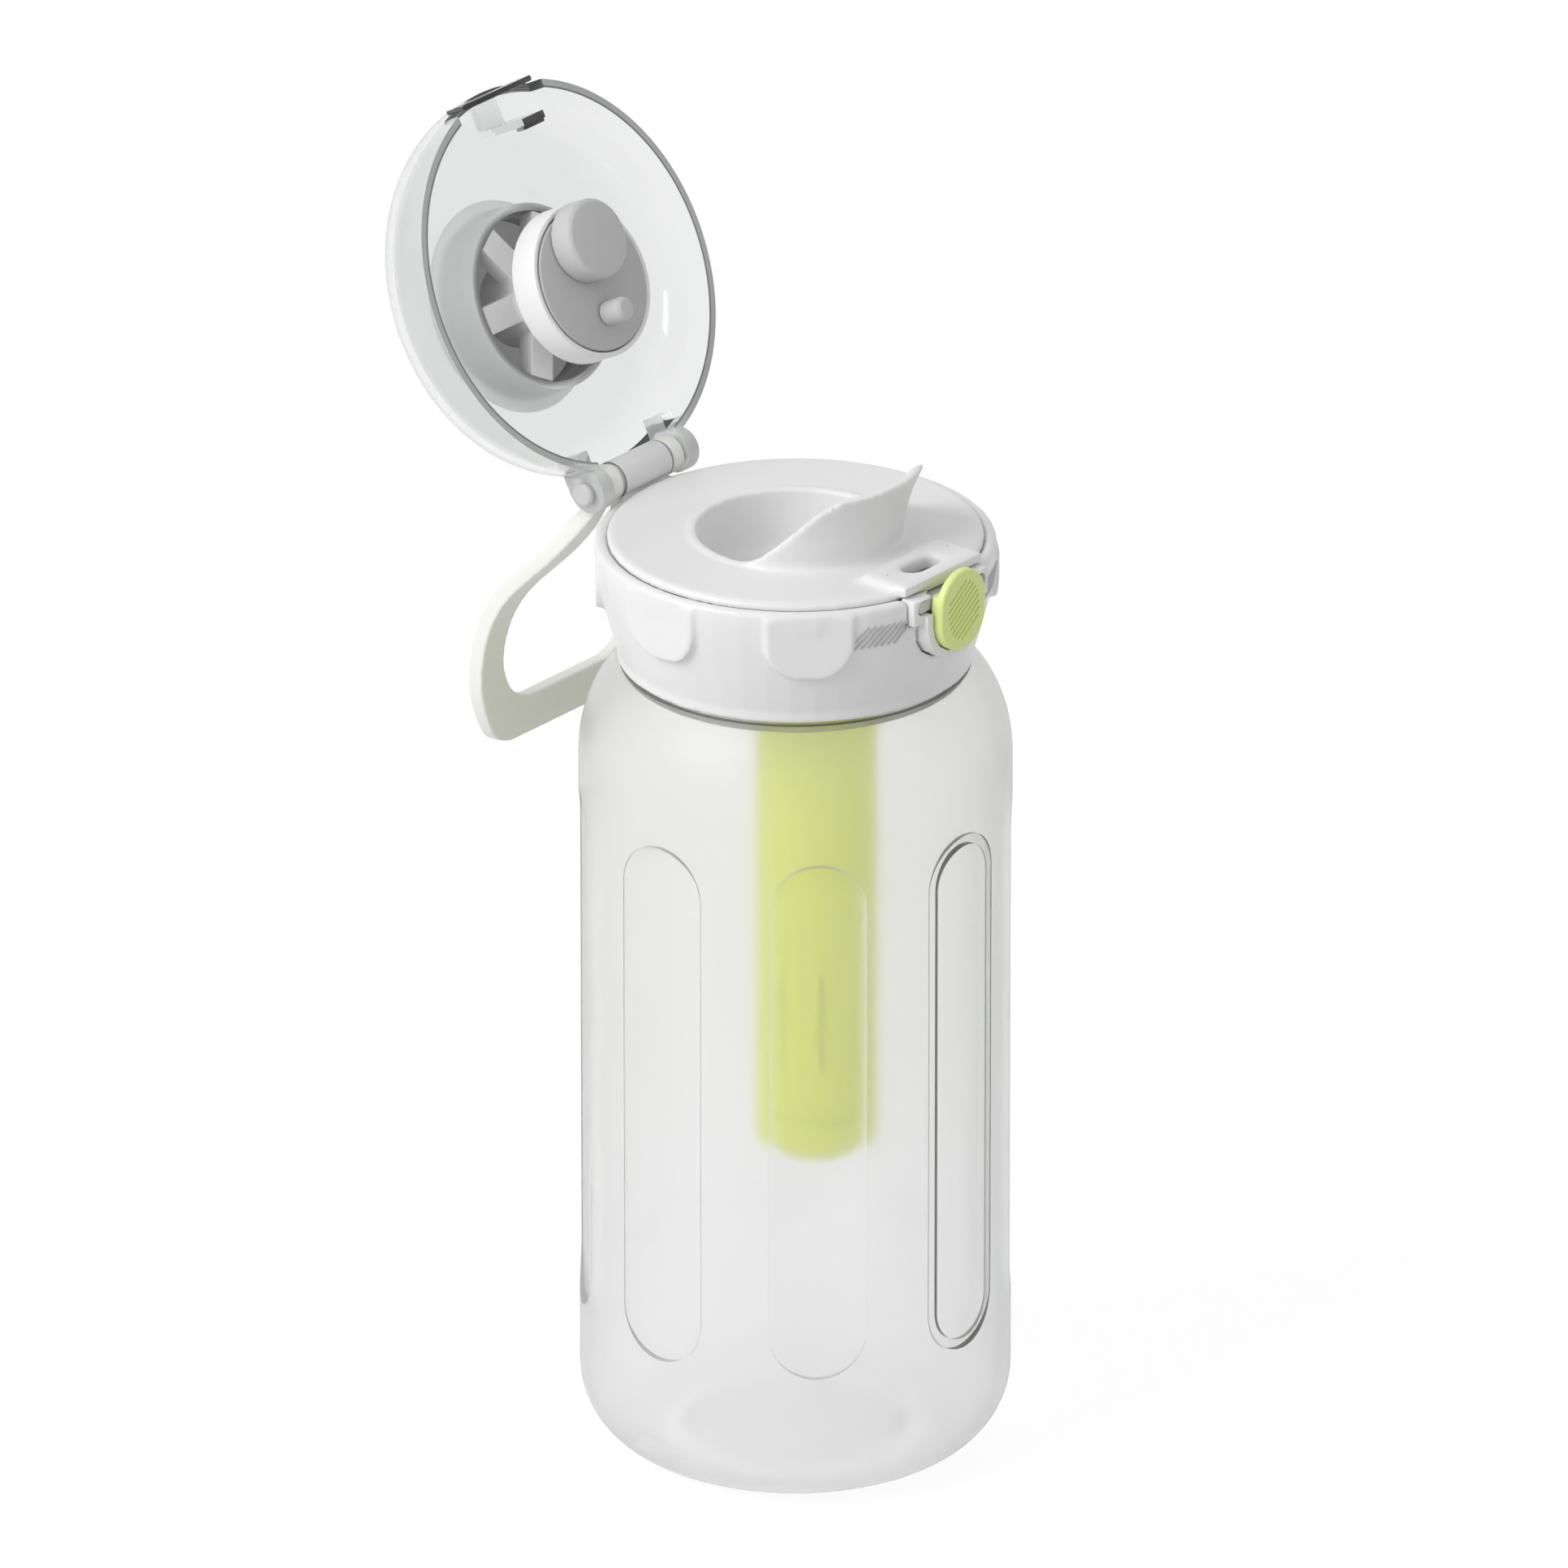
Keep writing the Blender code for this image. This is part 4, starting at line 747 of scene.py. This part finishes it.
def lidFinish(face, s):
    # Painted shade: the rim's edge faces, a line along the rim, and the faces under the flap and at the
    # hook's tip get darker, less clear finishes for the dark look of thick edges in clear plastic. The
    # socket carries a painted shade, darkest at the plug, and the ears are milky.
    middle = face.center
    fromPlug = Vector((middle.x, middle.y - socketSettings["middleY"])).length
    fromHinge = Vector((middle.y - hingeSettings["y"], middle.z - hingeSettings["z"])).length
    inNotch = middle.y < -s["notchBack"] + s["notchNear"] and abs(middle.x) < s["notchWidth"] / 2
    underFlap = middle.y < -s["radius"] + s["flapReach"] and middle.z < s["rimBottom"] + s["flapNear"]
    onTip = middle.z < s["rimBottom"] - hookSettings["depth"] + s["tipNear"]
    belowCeiling = middle.z < s["ceiling"] + s["ceilingNear"]
    # Painted shade in the socket
    if fromPlug < socketSettings["flareRadius"] and belowCeiling and not inNotch:
        return "lidSocketShade"
    if (fromHinge < earSettings["radius"] + s["earNear"]
            and abs(middle.x) > earSettings["start"] - s["earNear"]):
        return "lidEar"
    # Painted dark shade under the flap and at the hook's tip
    if inNotch and (underFlap or onTip):
        return "lidDarkShade"
    # Painted edge shade on the rim's underside, with a darker painted line along its inner edge
    if middle.z < s["rimBottom"] + s["rimNear"] and abs(face.normal.z) > s["rimFacing"]:
        onLine = middle.to_2d().length < s["radius"] - s["wall"] + s["rimLine"]
        return "lidLineShade" if onLine else "lidEdgeShade"
    return "lidClear"


def makeLid(s):
    lid = asObject("lidDome", spun(lidOutline(s), s["steps"], False))
    y = hingeSettings["y"]
    z = hingeSettings["z"]
    carve(lid, brick((-s["notchWidth"] / 2, -s["radius"] - s["overcut"], s["rimBottom"] - s["overcut"]),
                     (s["notchWidth"] / 2, -s["notchBack"], s["notchTop"])))
    carve(lid, brick((-s["rearHalf"], y - 2 * s["rearClear"], s["rimBottom"] - s["overcut"]),
                     (s["rearHalf"], y + s["rearClear"], z + s["rearClear"])))
    flap = brick((-s["flapWidth"] / 2, -s["flapFront"], s["rimBottom"]),
                 (s["flapWidth"] / 2, -s["flapFront"] + s["flapThickness"], s["flapTop"]))
    softEdges(flap, s["edge"])
    carve(lid, flap, "UNION")
    addHook(lid, s, hookSettings)
    addEars(lid, s, earSettings)
    addSocket(lid, s, socketSettings)
    faceNames = [lidFinish(face, s) for face in lid.data.polygons]
    swing = Matrix.Translation((0, y, z))
    openTurn = Matrix.Rotation(math.radians(-hingeSettings["openDeg"]), 4, "X")
    lid.data.transform(swing @ openTurn @ swing.inverted())
    smoothFaces(lid, s["shadeDeg"])
    handOver(lid, "lid", ["lidClear", "lidEdgeShade", "lidSocketShade", "lidEar", "lidDarkShade", "lidLineShade"],
             ["lid_shell"], faceNames)


makeLid(lidSettings)
print("lid made")

# Release button with a field of slanting finger grooves
buttonSettings = {
    "width": 0.0144,
    "height": 0.0176,
    "thickness": 0.0032,
    "back": 0.0414,
    "centre": 0.1986,
    "segments": 64,
    "edge": 0.0007,
    "edgeSteps": 4,
    "reliefDepth": 0.0016,
    "reliefFrom": 0.2030,
    "overcut": 0.002,
    "stem": ((-0.0034, -0.0430, 0.1919), (0.0034, -0.0362, 0.1993)),
    "grooveCount": 9,
    "groovePitch": 0.00118,
    "grooveWidth": 0.00042,
    "grooveDepth": 0.00045,
    "grooveDeg": 36.0,
    "field": (0.0050, 0.0065),
    "shadeDeg": 35.0,
}


def buttonGrooves(s):
    slope = math.radians(s["grooveDeg"])
    wide, tall = s["field"]
    grooves = []
    for index in range(s["grooveCount"]):
        offset = (index - (s["grooveCount"] - 1) / 2) * s["groovePitch"]
        # Where the slanting line meets the oval field
        a = (math.cos(slope) / wide) ** 2 + (math.sin(slope) / tall) ** 2
        b = 2 * offset * math.sin(slope) * math.cos(slope) * (1 / tall ** 2 - 1 / wide ** 2)
        c = offset ** 2 * ((math.sin(slope) / wide) ** 2 + (math.cos(slope) / tall) ** 2) - 1
        inside = b * b - 4 * a * c
        if inside <= 0:
            continue
        first = (-b - math.sqrt(inside)) / (2 * a)
        last = (-b + math.sqrt(inside)) / (2 * a)
        groove = brick((first, -s["grooveDepth"], offset - s["grooveWidth"] / 2),
                       (last, s["grooveDepth"], offset + s["grooveWidth"] / 2))
        turnedBy(groove, -s["grooveDeg"], "Y")
        grooves.append(shifted(groove, y=-(s["back"] + s["thickness"]), z=s["centre"]))
    return grooves


def makeButton(s):
    work = pill(s["width"], s["height"], s["thickness"], s["segments"])
    softEdges(work, s["edge"], s["edgeSteps"])
    button = asObject("grippedButton", shifted(work, y=-(s["back"] + s["thickness"]), z=s["centre"]))
    carve(button, brick((-s["width"], -s["back"] - s["reliefDepth"], s["reliefFrom"]),
                        (s["width"], -s["back"] + s["overcut"], s["centre"] + s["height"])))
    carve(button, brick(*s["stem"]), "UNION")
    carve(button, gathered(buttonGrooves(s)))
    smoothFaces(button, s["shadeDeg"])
    handOver(button, "button", ["buttonLime"], ["release_button"])


makeButton(buttonSettings)
print("button made")

# Slanting grip ribs moulded on the crown, beside the latch. They are white plastic; their grey is
# painted shade.
ribSettings = {
    "count": 8,
    "fromDeg": 18.4,
    "toDeg": 32.8,
    "radius": 0.0416,
    "taperTop": 0.1995,
    "taperLow": 0.1792,
    "taperReach": 0.0046,
    "taperPower": 1.35,
    "middle": 0.1968,
    "length": 0.0066,
    "width": 0.00044,
    "proud": 0.00018,
    "slopeDeg": 48.0,
    "cuts": 5,
}


def makeRib(s, index, side):
    rib = brick((-s["length"] / 2, -s["proud"], -s["width"] / 2),
                (s["length"] / 2, s["proud"], s["width"] / 2))
    longEdges = [edge for edge in rib.edges
                 if abs(edge.verts[0].co.x - edge.verts[1].co.x) > s["length"] / 2]
    bmesh.ops.subdivide_edges(rib, edges=longEdges, cuts=s["cuts"])
    turnedBy(rib, -s["slopeDeg"], "Y")
    degrees = s["fromDeg"] + (s["toDeg"] - s["fromDeg"]) * (index / (s["count"] - 1))
    run = side * s["radius"] * math.radians(degrees)
    # Wrapped round the crown, which tapers in below
    for vert in rib.verts:
        height = s["middle"] + vert.co.z
        down = max(0.0, (s["taperTop"] - height) / (s["taperTop"] - s["taperLow"]))
        radius = s["radius"] - s["taperReach"] * down ** s["taperPower"] - vert.co.y
        angle = (run + vert.co.x) / s["radius"]
        vert.co = (radius * math.sin(angle), -radius * math.cos(angle), height)
    return rib


def makeRibs(s):
    for side, name in ((-1, "gripRibsLeft"), (1, "gripRibsRight")):
        whole = gathered([makeRib(s, index, side) for index in range(s["count"])])
        bmesh.ops.recalc_face_normals(whole, faces=whole.faces)
        handOver(asObject(name, whole), "cap", ["ribShadeGrey"])


makeRibs(ribSettings)
print("ribs made")

# Grey sleeve on the hinge barrel with painted shadow lines at its ends, and two moulding marks on
# the deck
trimSettings = {
    "barrelRadius": 0.0040,
    "sunk": 0.0002,
    "sleeveLength": 0.0148,
    "sleeveRadius": 0.00406,
    "sleeveEdge": (0.00004, 0.0002),
    "lineRadius": 0.00404,
    "lineWidth": 0.00028,
    "steps": 64,
    "markRadius": 0.00022,
    "markTaper": 0.8,
    "markDepth": 0.0001,
    "markSegments": 24,
    "marks": ((-0.0098, -0.0322), (0.0098, -0.0322)),
    "markTop": 0.20632,
}


def makeTrim(s):
    half = s["sleeveLength"] / 2
    root = s["barrelRadius"] - s["sunk"]
    edgeDrop, edgeReach = s["sleeveEdge"]
    y = hingeSettings["y"]
    z = hingeSettings["z"]
    sleeve = spun([(root, half), (s["sleeveRadius"] - edgeDrop, half),
                   (s["sleeveRadius"], half - edgeReach), (s["sleeveRadius"], -half + edgeReach),
                   (s["sleeveRadius"] - edgeDrop, -half), (root, -half)], s["steps"])
    turnedBy(sleeve, 90.0, "Y")
    sleeve = asObject("barrelSleeve", shifted(sleeve, y=y, z=z))
    smoothFaces(sleeve)
    handOver(sleeve, "cap", ["hingeGrey"])

    # Dark rings at the sleeve's ends: painted shadow in the gaps beside the ears.
    lines = []
    for side in (-1, 1):
        ring = spun([(root, 0), (s["lineRadius"], 0), (s["lineRadius"], s["lineWidth"]),
                     (root, s["lineWidth"])], s["steps"])
        turnedBy(ring, 90.0, "Y")
        lines.append(shifted(ring, side * half - (s["lineWidth"] if side < 0 else 0), y, z))
    lines = asObject("sleeveShadowLines", gathered(lines))
    smoothFaces(lines)
    handOver(lines, "cap", ["markAndShadowGrey"])

    dots = [shifted(rod(s["markRadius"], s["markDepth"], s["markSegments"], s["markTaper"]),
                    across, back, s["markTop"] - s["markDepth"] / 2) for across, back in s["marks"]]
    handOver(asObject("mouldMarks", gathered(dots)), "cap", ["markAndShadowGrey"])


makeTrim(trimSettings)
print("trim made")

# The other solids are shown as copies with merged points, softened corners and smooth shading. Where
# a voxel size is given, the copy is remeshed evenly and eased instead. The deck's lip is also cut a
# little lower and swelled, and its latch tongue is eased further.
softSettings = {
    "cap_shell": {"piece": "crownAndCollar", "finish": "whitePlastic", "voxel": 0.00046, "ease": 8},
    "spout_deck": {"piece": "deckAndSpout", "finish": "whitePlastic", "voxel": 0.000476, "ease": 8,
                   "lipTop": 0.2209, "lipFrom": 0.2068, "lipSwell": 0.00030, "lipEase": 4,
                   "easedBox": ((-0.030, -0.039, 0.2041), (0.030, -0.024, 0.2066)), "boxEase": 22},
    "latch_housing": {"piece": "latchBlock", "finish": "whitePlastic", "width": 0.00015},
    "latch_slide": {"piece": "latchBar", "finish": "slideGrey", "width": 0.0002},
    "neck_gasket": {"piece": "gasketRing", "finish": "gasketSilicone", "width": 0.0003},
    "button_spring": {"piece": "buttonCoil", "finish": "springSteel", "pressed": 0.0017},
    "hinge_pin": {"piece": "pinRod", "finish": "springSteel"},
    "pin_cap_left": {"piece": "pinButtonLeft", "finish": "slideGrey", "width": 0.0002},
    "pin_cap_right": {"piece": "pinButtonRight", "finish": "slideGrey", "width": 0.0002},
    "lid_spring": {"piece": "lidCoil", "finish": "springSteel"},
    "plug_carrier": {"piece": "plugCup", "finish": "whitePlastic", "width": 0.00025},
    "seal_pad": {"piece": "plugPad", "finish": "padSilicone", "width": 0.0003},
    "drink_plug": {"piece": "drinkStopper", "finish": "plugSilicone", "width": 0.0003},
    "vent_plug": {"piece": "ventStopper", "finish": "plugSilicone", "width": 0.0002},
    "carry_handle": {"piece": "carryLoop", "finish": "loopMilky", "voxel": 0.00034, "ease": 10},
    "infuser_cap": {"piece": "infuserFoot", "finish": "infuserLime", "width": 0.0002},
    "infuser_seal": {"piece": "infuserRing", "finish": "gasketSilicone", "width": 0.0002},
}
copySettings = {
    "weld": 0.000004,
    "flatDeg": 0.5,
    "cornerSteps": 2,
    "cornerDeg": 40.0,
    "easeFactor": 0.5,
    "swellReach": 0.002,
    "shadeDeg": 34.0,
}


def easeVerts(work, verts, times, factor):
    for _ in range(times):
        bmesh.ops.smooth_vert(work, verts=verts, factor=factor,
                              use_axis_x=True, use_axis_y=True, use_axis_z=True)


def remesh(obj, s, t):
    even = obj.modifiers.new("even", "REMESH")
    even.mode = "VOXEL"
    even.voxel_size = s["voxel"]
    ease = obj.modifiers.new("ease", "SMOOTH")
    ease.factor = t["easeFactor"]
    ease.iterations = s["ease"]
    bakeModifiers(obj)


def refineDeck(obj, s, t):
    # Eases the latch tongue. The smoothing thins the lip, so it swells again above the deck.
    low, high = s["easedBox"]
    work = bmesh.new()
    work.from_mesh(obj.data)
    inBox = [vert for vert in work.verts if all(a < b < c for a, b, c in zip(low, vert.co, high))]
    easeVerts(work, inBox, s["boxEase"], t["easeFactor"])
    work.normal_update()
    for vert, normal in [(vert, vert.normal.copy()) for vert in work.verts]:
        share = min(1.0, max(0.0, (vert.co.z - s["lipFrom"]) / t["swellReach"]))
        vert.co += normal * s["lipSwell"] * share
    lip = [vert for vert in work.verts if vert.co.z > s["lipFrom"]]
    easeVerts(work, lip, s["lipEase"], t["easeFactor"])
    work.to_mesh(obj.data)
    work.free()


def softCopy(nodeName, s, t):
    source = nodes[nodeName]
    work = bmesh.new()
    work.from_mesh(source.data)
    bmesh.ops.remove_doubles(work, verts=work.verts, dist=t["weld"])
    bmesh.ops.dissolve_limit(work, angle_limit=math.radians(t["flatDeg"]), delimit=set(),
                             use_dissolve_boundaries=False, verts=work.verts, edges=work.edges)
    if "lipTop" in s:
        everything = work.verts[:] + work.edges[:] + work.faces[:]
        bmesh.ops.bisect_plane(work, geom=everything, plane_co=(0, 0, s["lipTop"]), plane_no=(0, 0, 1),
                               clear_outer=True)
        bmesh.ops.holes_fill(work, edges=[edge for edge in work.edges if edge.is_boundary])
    if "width" in s:
        softEdges(work, s["width"], t["cornerSteps"], t["cornerDeg"])
    obj = asObject(s["piece"], work)
    if "voxel" in s:
        remesh(obj, s, t)
    if "easedBox" in s:
        refineDeck(obj, s, t)
    smoothFaces(obj, t["shadeDeg"])
    handOver(obj, source["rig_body"], [s["finish"]], [nodeName])
    if "pressed" in s:
        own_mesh(obj)


for nodeName, softFacts in softSettings.items():
    softCopy(nodeName, softFacts, copySettings)

# The hidden solids carry the finish of the piece that stands for them.
hiddenFinishes = {nodeName: softFacts["finish"] for nodeName, softFacts in softSettings.items()}
hiddenFinishes.update(bottle_body="frosted", lid_shell="lidClear", release_button="buttonLime",
                      infuser_tube="infuserLime")
for nodeName, finishName in hiddenFinishes.items():
    nodes[nodeName].data.materials.clear()
    nodes[nodeName].data.materials.append(finishes[finishName])
print("solids softened")

# World: white behind the object and in its reflections, softer light on it
worldSettings = {
    "light": (1.0, 1.0, 1.0, 1.0),
    "strength": 0.60,
    "seen": (1.0, 1.0, 1.0, 1.0),
    "seenStrength": 1.0,
}


def seenRays(tree):
    # 1 for rays from the camera, in reflections and through clear plastic.
    path = addNode(tree, "ShaderNodeLightPath")
    seen = addNode(tree, "ShaderNodeMath", operation="MAXIMUM")
    either = addNode(tree, "ShaderNodeMath", operation="MAXIMUM")
    link(tree, path.outputs["Is Camera Ray"], seen.inputs[0])
    link(tree, path.outputs["Is Glossy Ray"], seen.inputs[1])
    link(tree, seen.outputs[0], either.inputs[0])
    link(tree, path.outputs["Is Transmission Ray"], either.inputs[1])
    return either.outputs[0]


def mixBySeen(tree, unseen, seen, outKind):
    mixed = addNode(tree, "ShaderNodeMixShader")
    link(tree, seenRays(tree), mixed.inputs["Fac"])
    link(tree, unseen.outputs[0], mixed.inputs[1])
    link(tree, seen.outputs[0], mixed.inputs[2])
    out = addNode(tree, outKind)
    link(tree, mixed.outputs[0], out.inputs["Surface"])


def makeWorld(s):
    world = bpy.data.worlds.new("studio")
    bpy.context.scene.world = world
    tree = newTree(world)
    soft = addNode(tree, "ShaderNodeBackground", {"Color": s["light"], "Strength": s["strength"]})
    white = addNode(tree, "ShaderNodeBackground", {"Color": s["seen"], "Strength": s["seenStrength"]})
    mixBySeen(tree, soft, white, "ShaderNodeOutputWorld")


makeWorld(worldSettings)
print("world made")

# Floor: seen white with a soft shadow, plain and pale for all other light
floorSettings = {
    "half": 4.0,
    "pale": (0.68, 0.68, 0.68, 1.0),
    "shown": (0.20, 0.20, 0.20, 1.0),
    "glow": 0.865,
}


def makeFloor(s):
    work = bmesh.new()
    bmesh.ops.create_grid(work, x_segments=1, y_segments=1, size=s["half"])
    floor = asObject("studioFloor", work)
    material = bpy.data.materials.new("studioFloor")
    material.cycles.emission_sampling = "NONE"
    tree = newTree(material)
    pale = addNode(tree, "ShaderNodeBsdfDiffuse", {"Color": s["pale"]})
    shown = addNode(tree, "ShaderNodeBsdfDiffuse", {"Color": s["shown"]})
    glow = addNode(tree, "ShaderNodeEmission", {"Strength": s["glow"]})
    both = addNode(tree, "ShaderNodeAddShader")
    link(tree, shown.outputs[0], both.inputs[0])
    link(tree, glow.outputs[0], both.inputs[1])
    mixBySeen(tree, pale, both, "ShaderNodeOutputMaterial")
    floor.data.materials.append(material)


makeFloor(floorSettings)
print("floor made")

# One large soft lamp, above the object and to the camera's left
lampSettings = {"place": (-1.1, 0.35, 1.0), "aim": (0, 0, 0.15), "size": 0.8, "power": 11.2}


def makeLamp(s):
    data = bpy.data.lights.new("keyLamp", "AREA")
    data.size = s["size"]
    data.energy = s["power"]
    lamp = bpy.data.objects.new("keyLamp", data)
    bpy.context.scene.collection.objects.link(lamp)
    lamp.location = s["place"]
    aim = Vector(s["aim"]) - lamp.location
    lamp.rotation_mode = "QUATERNION"
    lamp.rotation_quaternion = aim.to_track_quat("-Z", "Y")


makeLamp(lampSettings)
bpy.context.scene.view_settings.view_transform = "Standard"
print("lights made")
